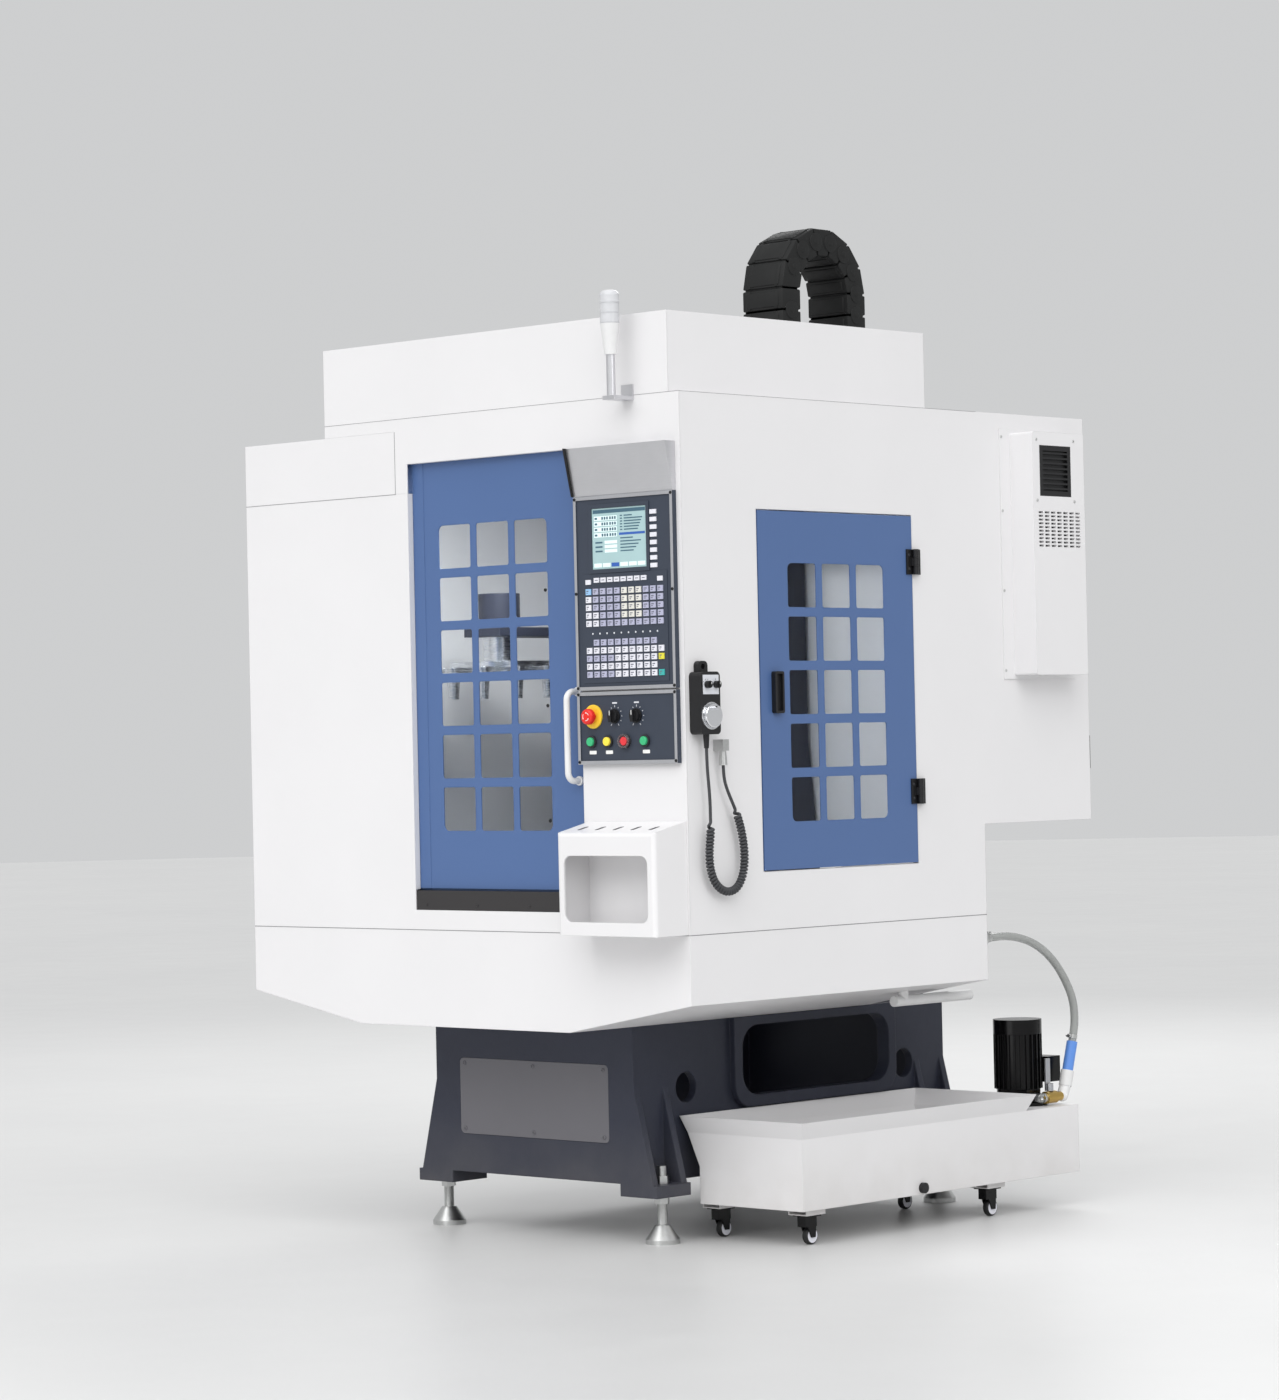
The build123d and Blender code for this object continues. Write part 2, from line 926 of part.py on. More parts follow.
def cable_bracket():
    """Angle on the carriage that reaches back beside the column under the cable chain."""
    edge = mid_x + carriage_width / 2
    front_y = (carriage_front, carriage_front + carriage_depth)
    arm = block((edge, chain_right), front_y, (carriage_top - chain_bracket_drop, carriage_top))
    shelf_z = (carriage_top - chain_bracket_height, carriage_top)
    arm += block((chain_left, chain_right), (front_y[0], chain_front + chain_bracket_reach), shelf_z)
    return arm


def spindle():
    """Rotating spindle with its tool taper and two drive keys."""
    low = head_bottom - cartridge_length - spindle_nose_height
    high = head_bottom - cartridge_length - turn_gap
    body = rod_z(spindle_nose_radius, mid_x, axis_y, (low, high))
    body += rod_z(spindle_shaft_radius, mid_x, axis_y, (high, head_bottom + spindle_shaft_length - fit_gap))
    body -= cone_z(taper_mouth_radius, taper_end_radius, mid_x, axis_y, (low, low + taper_depth))
    for side in (-1, 1):
        x = mid_x + side * (spindle_nose_radius - drive_key_depth)
        key_y = around(axis_y, drive_key_width)
        body += block(around(x, drive_key_depth), key_y, (low - drive_key_height, low))
    return body


def tool_drum():
    """Disc magazine with grippers, tool holders and the shaft that hangs it from its arm."""
    top = drum_bottom + drum_height
    body = rod_z(drum_radius, drum_x, drum_y, (drum_bottom, top))
    body += rod_z(drum_hub_radius, drum_x, drum_y, (top, drum_arm_bottom - turn_gap))
    shaft_top = drum_arm_bottom + drum_arm_thickness + drum_shaft_seat
    body += rod_z(drum_shaft_radius, drum_x, drum_y, (drum_bottom, shaft_top - fit_gap))
    for window in range(drum_window_count):
        angle = math.radians(window * 360 / drum_window_count)
        x = drum_x + drum_window_circle * math.cos(angle)
        y = drum_y + drum_window_circle * math.sin(angle)
        body -= rod_z(drum_window_radius, x, y, (drum_bottom - cut_over, top + cut_over))
    reach = drum_radius + gripper_reach
    for gripper in range(gripper_count):
        turn = Pos(drum_x, drum_y, 0) * Rot(0, 0, gripper * 360 / gripper_count)
        arm_x = (drum_radius - gripper_reach, reach)
        body += turn * block(arm_x, around(0, gripper_width), (drum_bottom, drum_bottom + gripper_height))
        body += turn * tool_holder(reach)
    return body


def tool_holder(reach):
    """A tool holder hanging in its gripper at a radius from the drum's axis."""
    flange = rod_z(holder_radius, reach, 0, (drum_bottom - holder_flange, drum_bottom + gripper_height))
    tip_z = (drum_bottom - holder_length, drum_bottom - holder_flange)
    return flange + cone_z(holder_tip_radius, holder_radius - holder_tip_radius / 2, reach, 0, tip_z)


def pan_profile(inset, top):
    """Front outline of the chip pan, moved inwards by an inset."""
    left = enclosure_left + inset
    right = enclosure_right - inset
    flat_left = enclosure_left + pan_slope_width
    flat_right = enclosure_right - pan_slope_width
    return (
        (left, top), (left, apron_bottom + inset), (flat_left, pan_bottom + inset),
        (flat_right, pan_bottom + inset), (right, apron_bottom + inset), (right, top),
    )


def chip_pan():
    """Trough-bottomed sheet tub with the apron as its walls, cut out for bed and column."""
    body = prism_y(pan_profile(0, seam_z), (enclosure_front, enclosure_rear))
    inner_y = (front_inner, enclosure_rear - sheet)
    body -= prism_y(pan_profile(sheet, seam_z + cut_over), inner_y)
    rear_y = (enclosure_rear - sheet, enclosure_rear)
    body += block((left_inner, right_inner), rear_y, (seam_z, cabinet_bottom))
    hole_y = (base_front + stage_front_inset - pan_hole_gap, enclosure_rear + cut_over)
    hole_z = (pan_bottom - cut_over, cabinet_bottom + cut_over)
    body -= block(around(mid_x, stage_width + 2 * pan_hole_gap), hole_y, hole_z)
    return body


def front_panel():
    """Front skin over and beside the sliding door, with folded door reveals."""
    points = (
        (roof_left, roof_top), (roof_right, roof_top), (roof_right, lower_top),
        (enclosure_right, lower_top), (enclosure_right, seam_z), (door_opening_right, seam_z),
        (door_opening_right, door_opening_top), (door_opening_left, door_opening_top),
        (door_opening_left, left_cover_bottom), (left_cover_right, left_cover_bottom),
        (left_cover_right, left_top), (roof_left, left_top),
    )
    body = prism_y(points, (enclosure_front, front_inner))
    fold_y = (front_inner, front_inner + hem)
    side_x = (door_opening_right, door_opening_right + sheet)
    body += block(side_x, fold_y, (door_opening_bottom + track_height, door_opening_top))
    head_x = (door_opening_left, door_opening_right + sheet)
    body += block(head_x, fold_y, (door_opening_top, door_opening_top + sheet))
    return body


def left_front_panel():
    """Front skin left of the sliding door and under it."""
    points = (
        (enclosure_left, seam_z), (door_opening_right, seam_z),
        (door_opening_right, door_opening_bottom), (door_opening_left, door_opening_bottom),
        (door_opening_left, left_cover_bottom), (enclosure_left, left_cover_bottom),
    )
    body = prism_y(points, (enclosure_front, front_inner))
    fold_x = (door_opening_left - sheet, door_opening_left)
    fold_z = (door_opening_bottom + track_height + sheet, left_cover_bottom)
    body += block(fold_x, (front_inner, front_inner + hem), fold_z)
    return body


def left_top_cover():
    """Sheet that lids the left bay and folds down over its front."""
    front_z = (left_cover_bottom, left_top)
    body = block((enclosure_left, left_cover_right), (enclosure_front, front_inner), front_z)
    lid_z = (left_top - sheet, left_top)
    body += block((enclosure_left, roof_left), (enclosure_front, enclosure_rear), lid_z)
    return body


def right_side_panel():
    """L-shaped side skin that also covers the cabinet, with the side door's opening and reveal."""
    points = (
        (front_inner, seam_z), (enclosure_rear, seam_z), (enclosure_rear, cabinet_bottom),
        (cabinet_rear, cabinet_bottom), (cabinet_rear, lower_top), (front_inner, lower_top),
    )
    body = prism_x(points, (right_inner, enclosure_right))
    gap = side_door_gap
    y_ends = (side_door_front - gap, side_door_front + side_door_width + gap)
    z_ends = (side_door_bottom - gap, side_door_top + gap)
    reveal_x = (right_inner - side_reveal, enclosure_right)
    body += block(
        reveal_x, (y_ends[0] - sheet, y_ends[1] + sheet), (z_ends[0] - sheet, z_ends[1] + sheet)
    )
    body -= block((right_inner - cut_over - side_reveal, enclosure_right + cut_over), y_ends, z_ends)
    return body


def left_side_panel():
    """Left skin with the wall of the left bay folded round its back."""
    body = block((enclosure_left, left_inner), (front_inner, enclosure_rear), (seam_z, left_top - sheet))
    rear_y = (enclosure_rear - sheet, enclosure_rear)
    return body + block((enclosure_left, roof_left), rear_y, (cabinet_bottom, left_top - sheet))


def roof_housing():
    """Raised roof over the head with its ledges and the slot for the cable chain."""
    y_ends = (front_inner, roof_rear)
    body = block((roof_left, roof_right), y_ends, (left_top - sheet, roof_top))
    body -= block(
        (roof_left + sheet, roof_right - sheet),
        (front_inner - cut_over, roof_rear - sheet),
        (left_top - sheet - cut_over, roof_top - sheet),
    )
    ledge_z = (lower_top - sheet, lower_top)
    rear_y = (roof_rear - sheet, enclosure_rear)
    low_z = (left_top - sheet - cut_over, lower_top - sheet)
    low_y = (front_inner - cut_over, roof_rear + cut_over)
    body -= block((roof_left + sheet, roof_right + cut_over), low_y, low_z)
    body += block((roof_right - sheet, right_inner), (front_inner, enclosure_rear), ledge_z)
    body += block((roof_left, right_inner), rear_y, ledge_z)
    side_z = (left_top - sheet, lower_top)
    body += block((roof_left, roof_left + sheet), (roof_rear - sheet, enclosure_rear), side_z)
    margin = chain_slot_margin
    slot_y = (chain_front - margin, chain_front + chain_thickness + margin)
    slot_z = (roof_top - cut_over, roof_top + cut_over)
    return body - block((chain_left - margin, chain_right + margin), slot_y, slot_z)


def door_track():
    """Lower black channel that the door runs in, and the upper guide behind the header."""
    x_ends = (left_inner + track_left_margin, door_opening_right)
    bottom_z = (door_opening_bottom, door_opening_bottom + track_height)
    lower = block(x_ends, (front_inner, front_inner + track_depth), bottom_z)
    groove = around(door_face + door_depth / 2, tongue_width + 2 * fit_gap)
    over_x = (x_ends[0] - cut_over, x_ends[1] + cut_over)
    floor_z = door_bottom - tongue_depth - turn_gap
    lower -= block(over_x, groove, (floor_z, bottom_z[1] + cut_over))
    upper_z = (door_top + fit_gap, door_top + tongue_depth + sheet)
    upper = block(x_ends, (front_inner, front_inner + track_depth), upper_z)
    upper -= block(over_x, groove, (upper_z[0] - cut_over, door_top + tongue_depth + fit_gap))
    corner_x = (door_opening_right - cut_over, door_opening_right + cut_over)
    return [lower, upper - block(corner_x, (front_inner, front_inner + hem), upper_z)]


def door_panes():
    """The sliding door's window panes as a flat sketch."""
    return pane_grid(
        door_pane_columns, door_pane_rows, door_panes_width, door_panes_height, door_pane_bar_x, door_pane_bar_z
    )


def door_pane_middle():
    """Middle of the sliding door's window, as x and z."""
    return door_left + door_pane_left + door_panes_width / 2, door_bottom + door_pane_bottom + door_panes_height / 2


def main_door_panel():
    """Folded door skin with the pane grid, a stepped left edge and a tongue in each track."""
    x_ends = (door_left, door_right)
    z_ends = (door_bottom, door_top)
    body = block(x_ends, (door_face, door_face + door_depth), z_ends)
    body -= block(
        (door_left + sheet, door_right - sheet),
        (door_face + sheet, door_face + door_depth + cut_over),
        (door_bottom + sheet, door_top - sheet),
    )
    x, z = door_pane_middle()
    body -= sketch_on_y(door_panes(), x, (door_face - cut_over, door_face + door_depth), z)
    fold_x = (door_left + door_overlap_left, door_left + door_overlap_left + door_fold)
    body += block(fold_x, (door_face - door_fold_depth / 2, door_face), z_ends)
    tongue = around(door_face + door_depth / 2, tongue_width)
    body += block(x_ends, tongue, (door_bottom - tongue_depth, door_bottom))
    body += block(x_ends, tongue, (door_top, door_top + tongue_depth))
    return body


def main_door_window():
    """Clear sheet behind the sliding door's panes."""
    x, z = door_pane_middle()
    x_ends = around(x, door_panes_width + 2 * glass_margin)
    y_ends = (door_face + sheet, door_face + sheet + glass)
    return block(x_ends, y_ends, around(z, door_panes_height + 2 * glass_margin))


def main_door_handle():
    """Bent bar handle with a foot at each end."""
    x = door_opening_right - handle_from_right + door_overlap_right
    out = door_face - handle_standoff
    top = handle_bottom + handle_length
    points = ((x, door_face, handle_bottom), (x, out, handle_bottom), (x, out, top), (x, door_face, top))
    path = FilletPolyline(*points, radius=handle_standoff / 2)
    bar = sweep(Plane(origin=points[0], z_dir=(0, -1, 0)) * Circle(handle_radius), path=path)
    for z in (handle_bottom, top):
        bar += rod_y(handle_foot_radius, x, (door_face - handle_foot, door_face), z)
    return bar


def side_pane_middle():
    """Middle of the side door's window, as y and z."""
    y = side_door_front + side_pane_front + side_panes_width / 2
    return y, side_door_bottom + side_pane_bottom + side_panes_height / 2


def side_door_panel():
    """Folded side door with its pane grid."""
    face = enclosure_right + side_door_proud
    y_ends = (side_door_front, side_door_front + side_door_width)
    z_ends = (side_door_bottom, side_door_top)
    body = block((face - side_door_depth, face), y_ends, z_ends)
    body -= block(
        (face - side_door_depth - cut_over, face - sheet),
        (y_ends[0] + sheet, y_ends[1] - sheet),
        (z_ends[0] + sheet, z_ends[1] - sheet),
    )
    panes = pane_grid(
        side_pane_columns, side_pane_rows, side_panes_width, side_panes_height, side_pane_bar_y, side_pane_bar_z
    )
    y, z = side_pane_middle()
    return body - sketch_on_x(panes, (face - side_door_depth, face + cut_over), y, z)


def side_door_window():
    """Clear sheet behind the side door's panes."""
    y, z = side_pane_middle()
    inner = enclosure_right + side_door_proud - sheet
    y_ends = around(y, side_panes_width + 2 * glass_margin)
    return block((inner - glass, inner), y_ends, around(z, side_panes_height + 2 * glass_margin))


def side_door_hardware():
    """Recessed pull and the middle knuckles of the side door's hinges, with their leaves."""
    face = enclosure_right + side_door_proud
    front = side_door_front + pull_from_front
    outline = RectangleRounded(pull_width, pull_height, pull_wall)
    hollow = RectangleRounded(pull_width - 2 * pull_wall, pull_height - 2 * pull_wall, pull_wall / 2)
    y = front + pull_width / 2
    z = pull_bottom + pull_height / 2
    pull = sketch_on_x(outline, (face, face + pull_depth), y, z)
    pull -= sketch_on_x(hollow, (face + pull_depth - pull_recess, face + pull_depth + cut_over), y, z)
    pieces = [pull]
    for low in hinge_lows:
        third = hinge_length / 3
        z_ends = (low + third + hinge_gap, low + 2 * third - hinge_gap)
        leaf_y = (hinge_y - hinge_leaf, hinge_y)
        leaf = block((face, face + hinge_leaf_thickness), leaf_y, (low, low + hinge_length))
        room = (low - cut_over, low + hinge_length + cut_over)
        leaf -= rod_z(hinge_knuckle_radius + hinge_gap, hinge_x, hinge_y, room)
        leaf -= block((face, hinge_x), (hinge_y - hinge_gap, hinge_y + cut_over), room)
        leaf += rod_z(hinge_knuckle_radius, hinge_x, hinge_y, z_ends)
        web_y = (hinge_y - hinge_leaf / 2, hinge_y)
        leaf += block((face, hinge_x), web_y, z_ends) - rod_z(hinge_knuckle_radius, hinge_x, hinge_y, room)
        leaf -= rod_z(hinge_pin_radius + turn_gap, hinge_x, hinge_y, room)
        pieces.append(leaf)
    return pieces


def hinge_leaves():
    """Fixed leaves, outer knuckles and pins of the side door and cabinet door hinges."""
    pieces = []
    for low in hinge_lows:
        third = hinge_length / 3
        leaf_y = (hinge_y + side_door_gap, hinge_y + hinge_leaf + side_door_gap)
        leaf = block((enclosure_right, hinge_x - hinge_knuckle_radius), leaf_y, (low, low + hinge_length))
        for z_ends in ((low, low + third), (low + 2 * third, low + hinge_length)):
            leaf += rod_z(hinge_knuckle_radius, hinge_x, hinge_y, z_ends)
            web_x = (hinge_x - hinge_knuckle_radius, hinge_x)
            leaf += block(web_x, (hinge_y, leaf_y[0] + hinge_leaf / 2), z_ends)
        leaf += rod_z(hinge_pin_radius, hinge_x, hinge_y, (low, low + hinge_length))
        pieces.append(leaf)
    for low in cabinet_hinge_lows:
        pieces.append(cabinet_hinge(low, right_inner))
    return pieces


def cabinet_hinge_place():
    """Axis of the cabinet door's hinges, as x and y."""
    return right_inner - cabinet_hinge_inset, cabinet_rear + cabinet_hinge_radius


def cabinet_hinge(low, edge):
    """Fixed side of a cabinet hinge: two knuckles on a block that reaches to an edge, and the pin."""
    x, y = cabinet_hinge_place()
    third = cabinet_hinge_length / 3
    whole = (low, low + cabinet_hinge_length)
    piece = rod_z(hinge_pin_radius, x, y, whole)
    for z_ends in ((low, low + third), (low + 2 * third, whole[1])):
        piece += rod_z(cabinet_hinge_radius, x, y, z_ends)
        piece += block((x, edge), (cabinet_rear, y), z_ends)
    strip_x = (edge - (edge - x) / 3, edge)
    return piece + block(strip_x, (cabinet_rear, y), whole)


def electrical_cabinet():
    """Rear cabinet shell with a fixed half back, a mounting plate and drive units."""
    y_ends = (enclosure_rear, cabinet_rear)
    z_ends = (cabinet_bottom, lower_top)
    shell = block((roof_left, right_inner), y_ends, z_ends)
    shell -= block(
        (roof_left + sheet, right_inner - sheet),
        (enclosure_rear + sheet, cabinet_rear - sheet),
        (cabinet_bottom + sheet, lower_top - sheet),
    )
    door_x = (right_inner - cabinet_door_width, right_inner)
    frame = cabinet_hem
    shell -= block(
        (door_x[0], door_x[1] - frame),
        (cabinet_rear - sheet - cut_over, cabinet_rear + cut_over),
        (cabinet_bottom + frame, lower_top - frame),
    )
    pieces = [shell]
    plate_y = (enclosure_rear + sheet, enclosure_rear + sheet + mount_plate)
    plate_x = (roof_left + frame, right_inner - frame)
    plate_z = (cabinet_bottom + frame, lower_top - frame)
    pieces.append(block(plate_x, plate_y, plate_z))
    for unit in range(drive_count):
        x = right_inner - frame - drive_pitch * (unit + 1)
        unit_y = (plate_y[1], plate_y[1] + drive_depth)
        pieces.append(block(around(x, drive_width), unit_y, (drive_bottom, drive_bottom + drive_height)))
    return pieces


def cabinet_door():
    """Rear cabinet door with its folded inner edge, hinge knuckles and a round lock."""
    x_hinge, y_hinge = cabinet_hinge_place()
    x_ends = (right_inner - cabinet_door_width, x_hinge - fit_gap)
    z_ends = (cabinet_bottom + cabinet_hem / 3, lower_top - cabinet_hem / 3)
    body = block(x_ends, (cabinet_rear, cabinet_rear + sheet), z_ends)
    rim = cabinet_hem + sheet
    tray_x = (x_ends[0] + rim, x_ends[1] - rim)
    tray_z = (z_ends[0] + rim, z_ends[1] - rim)
    tray_y = (cabinet_rear - cabinet_door_tray, cabinet_rear)
    body += block(tray_x, tray_y, tray_z)
    body -= block(
        (tray_x[0] + sheet, tray_x[1] - sheet),
        (tray_y[0] - cut_over, tray_y[1]),
        (tray_z[0] + sheet, tray_z[1] - sheet),
    )
    room = (cabinet_bottom, lower_top)
    for low in cabinet_hinge_lows:
        whole = (low - fit_gap, low + cabinet_hinge_length + fit_gap)
        notch_x = (x_hinge - 2 * cabinet_hinge_radius, right_inner)
        body -= block(notch_x, (cabinet_rear, cabinet_rear + sheet), whole)
        third = cabinet_hinge_length / 3
        z_mid = (low + third + hinge_gap, low + 2 * third - hinge_gap)
        knuckle = block((x_hinge - cabinet_leaf, x_hinge), (cabinet_rear + hinge_gap, y_hinge), z_mid)
        body += knuckle + rod_z(cabinet_hinge_radius - hinge_gap, x_hinge, y_hinge, z_mid)
        body -= rod_z(hinge_pin_radius + turn_gap, x_hinge, y_hinge, room)
    lock_y = (cabinet_rear + sheet, cabinet_rear + sheet + cabinet_lock_height)
    lock_z = (z_ends[0] + z_ends[1]) / 2
    return body + rod_y(cabinet_lock_radius, x_ends[0] + cabinet_lock_inset, lock_y, lock_z)


def cabinet_cooler():
    """Cooler on its flange, with the louvre slots, and the framed filter in its face."""
    flange_y = (cooler_flange_front, cooler_flange_front + cooler_flange_width)
    flange_z = (cooler_flange_bottom, cooler_flange_bottom + cooler_flange_height)
    face = enclosure_right + cooler_depth
    body = block((enclosure_right, enclosure_right + sheet), flange_y, flange_z)
    y = (flange_y[0] + flange_y[1]) / 2
    z = (flange_z[0] + flange_z[1]) / 2
    outline = RectangleRounded(
        cooler_flange_width - 2 * cooler_side_margin,
        cooler_flange_height - 2 * cooler_end_margin,
        cooler_corner,
    )
    body += sketch_on_x(outline, (enclosure_right, face), y, z)
    filter_z = flange_z[1] - cooler_end_margin - filter_from_top - filter_size / 2
    filter_y = flange_y[0] + cooler_side_margin + filter_from_front + filter_size / 2
    pocket = Rectangle(filter_size, filter_size)
    body -= sketch_on_x(pocket, (face - filter_depth, face + cut_over), filter_y, filter_z)
    top_row = filter_z - filter_size / 2 - slots_below_filter
    slots = Sketch()
    for column in range(slot_columns):
        for row in range(slot_rows):
            across = (column - (slot_columns - 1) / 2) * slot_pitch_y
            slots += Pos(across, -row * slot_pitch_z) * Rectangle(slot_width, slot_height)
    body -= sketch_on_x(slots, (face - slot_depth, face + cut_over), y, top_row)
    return [body, filter_guard((face - filter_depth, face), filter_y, filter_z)]


def filter_guard(x, y, z):
    """Square filter frame with flat bars."""
    guard = Rectangle(filter_size, filter_size)
    inside = filter_size - 2 * filter_frame
    guard -= Rectangle(inside, inside)
    for bar in range(filter_bar_count):
        up = (bar - (filter_bar_count - 1) / 2) * inside / filter_bar_count
        guard += Pos(0, up) * Rectangle(inside, filter_bar)
    return sketch_on_x(guard, x, y, z)


def cable_chain():
    """Guide chain arched from the roof to the head: a stepped box for each link."""
    middle = chain_thickness / 2
    radius = chain_span / 2 - middle
    legs = (
        (chain_front + middle, carriage_top, 1),
        (chain_rear - middle, lower_top, 0),
    )
    chain = Part()
    for y, foot, odd in legs:
        count = round((chain_turn_z - foot) / chain_leg_pitch)
        pitch = (chain_turn_z - foot) / count
        for link in range(count):
            low = foot + link * pitch
            step = chain_step * ((count - link + odd) % 2)
            high = low + pitch + (chain_overlap if link + 1 < count else 0)
            chain += chain_link((y - middle, y + middle), (low, high), step)
    for link in range(chain_arc_links):
        turn = 180 / chain_arc_links
        length = 2 * (radius + middle) * math.tan(math.radians(turn / 2))
        piece = chain_link((radius - middle, radius + middle), around(0, length), chain_step * (link % 2))
        chain += Pos(0, chain_mid_y, chain_turn_z) * Rot(turn * (link + 0.5), 0, 0) * piece
    return chain


def chain_link(y, z, step):
    """One link as a box, with the inner links narrower and thinner by a step."""
    y_ends = (y[0] + step, y[1] - step)
    return block((chain_left + step, chain_right - step), y_ends, z)


def panel_plate(z, rim):
    """A control plate on the front skin with a raised rim."""
    plate = block((panel_left, panel_right), (panel_face, enclosure_front), z)
    rim_y = (panel_face - panel_rim_height, panel_face)
    edge = block((panel_left, panel_right), rim_y, z)
    edge -= block((panel_left + rim, panel_right - rim), rim_y, (z[0] + rim, z[1] - rim))
    return plate + edge


def screen_place():
    """Middle of the display, as x and z."""
    x = panel_left + screen_left + screen_width / 2
    return x, panel_top - screen_from_top - screen_height / 2


def control_panel():
    """Control unit's front plate with the display's pocket and its raised bezel."""
    body = panel_plate((panel_bottom, panel_top), panel_rim)
    x, z = screen_place()
    bezel_y = (panel_face - screen_bezel_height, panel_face)
    bezel_z = around(z, screen_height + 2 * screen_bezel)
    body += block(around(x, screen_width + 2 * screen_bezel), bezel_y, bezel_z)
    pocket_y = (panel_face - cut_over, panel_face + screen_depth)
    body -= block(around(x, screen_width), pocket_y, around(z, screen_height))
    for key in range(side_key_count):
        low = panel_bottom + side_key_bottom + key * side_key_pitch
        key_x = (panel_left + side_key_left, panel_left + side_key_left + side_key_width)
        body += block(key_x, (panel_face - key_rise, panel_face), (low, low + side_key_size))
    return body


def display_screen():
    """Flat display in its pocket."""
    x, z = screen_place()
    y_ends = (panel_face, panel_face + screen_depth)
    z_ends = around(z, screen_height - 2 * plate_seat_gap)
    return block(around(x, screen_width - 2 * plate_seat_gap), y_ends, z_ends)


def keypad():
    """Membrane keypad in one piece: two blocks of raised keys and a row under the display."""
    left = panel_left + keypad_left
    bottom = panel_bottom + keypad_bottom
    face = panel_face - keypad_thickness
    body = block((left, left + keypad_width), (face, panel_face), (bottom, bottom + keypad_height))
    key_y = (face - key_rise, face)
    for level, block_bottom in enumerate(key_block_bottoms):
        for row in range(key_rows):
            for column in range(key_columns):
                if level == 0 and (row, column) in lower_block_left_out:
                    continue
                x = left + key_left + column * key_pitch_x
                z = bottom + block_bottom + row * key_pitch_z
                body += block((x, x + key_width), key_y, (z, z + key_height))
    for key in range(soft_key_count):
        x = left + soft_key_left + key * soft_key_pitch
        z = bottom + soft_key_row
        body += block((x, x + key_width), key_y, (z, z + soft_key_height))
    for x in (left + key_left, left + key_left + (key_columns - 1) * key_pitch_x):
        z = bottom + end_key_row
        body += block((x, x + key_width), key_y, (z, z + soft_key_height))
    return body


def operator_panel():
    """Lower plate with bores for the controls, button collars and the stop button's ring."""
    body = panel_plate((operator_bottom, operator_bottom + operator_height), panel_rim)
    through = (panel_face - cut_over, enclosure_front - sheet)
    collar_y = (panel_face - collar_height, panel_face)
    z = operator_bottom + button_row
    for offset in button_offsets:
        body += rod_y(button_radius + turn_gap + collar_wall, panel_left + offset, collar_y, z)
        body -= rod_y(button_radius + turn_gap, panel_left + offset, (through[0], enclosure_front), z)
    ring_y = (panel_face - estop_collar_height, panel_face)
    z = operator_bottom + control_row
    body += rod_y(estop_collar_radius, panel_left + estop_offset, ring_y, z)
    body -= rod_y(estop_stem_radius + turn_gap, panel_left + estop_offset, (through[0], enclosure_front), z)
    for offset in (feed_knob_offset, spindle_knob_offset):
        body -= rod_y(knob_stem_radius + turn_gap, panel_left + offset, through, z)
    guard_x = panel_left + button_offsets[2]
    guard_z = operator_bottom + button_row
    inner = button_radius + turn_gap + collar_wall
    guard = rod_y(inner + guard_wall, guard_x, (panel_face - guard_height, panel_face), guard_z)
    guard -= rod_y(inner, guard_x, (panel_face - guard_height, panel_face), guard_z)
    return body + guard


def push_button(offset):
    """Round push button running in its collar."""
    z = operator_bottom + button_row
    back = panel_face - button_proud + button_length
    body = rod_y(button_radius, panel_left + offset, (panel_face - button_proud, back), z)
    return fillet(body.edges().sort_by(Axis.Y)[0], collar_wall / 2)


def emergency_stop():
    """Mushroom stop button on its stem."""
    x = panel_left + estop_offset
    z = operator_bottom + control_row
    face = panel_face - estop_collar_height
    head = rod_y(estop_radius, x, (face - estop_neck - estop_head, face - estop_neck), z)
    head = fillet(head.edges().sort_by(Axis.Y)[0], estop_head / 2)
    return head + rod_y(estop_stem_radius, x, (face - estop_neck, enclosure_front - estop_stem_clear), z)


def panel_knob(offset):
    """Rotary knob with a round skirt, a bar grip and a stem."""
    x = panel_left + offset
    z = operator_bottom + control_row
    skirt_y = (panel_face - slide_gap - knob_skirt, panel_face - slide_gap)
    body = rod_y(knob_skirt_radius, x, skirt_y, z)
    body += rod_y(knob_radius, x, (skirt_y[0] - knob_height / 2, skirt_y[0]), z)
    grip_y = (skirt_y[0] - knob_height, skirt_y[0])
    body += block(around(x, knob_grip), grip_y, around(z, 2 * knob_radius))
    return body + rod_y(knob_stem_radius, x, (skirt_y[1], panel_face + knob_stem), z)


def panel_hood():
    """Folded metal visor over the control panel, proud at its top."""
    z_ends = (panel_top, panel_top + hood_height)
    foot = panel_face
    points = (
        (enclosure_front, z_ends[0]), (foot, z_ends[0]),
        (foot - hood_proud, z_ends[1]), (enclosure_front, z_ends[1]),
    )
    body = prism_x(points, (panel_left, panel_right))
    inner = (
        (enclosure_front, z_ends[0] + sheet), (foot + sheet, z_ends[0] + sheet),
        (foot - hood_proud + sheet, z_ends[1] - sheet), (enclosure_front, z_ends[1] - sheet),
    )
    return body - prism_x(inner, (panel_left + sheet, panel_right - sheet))


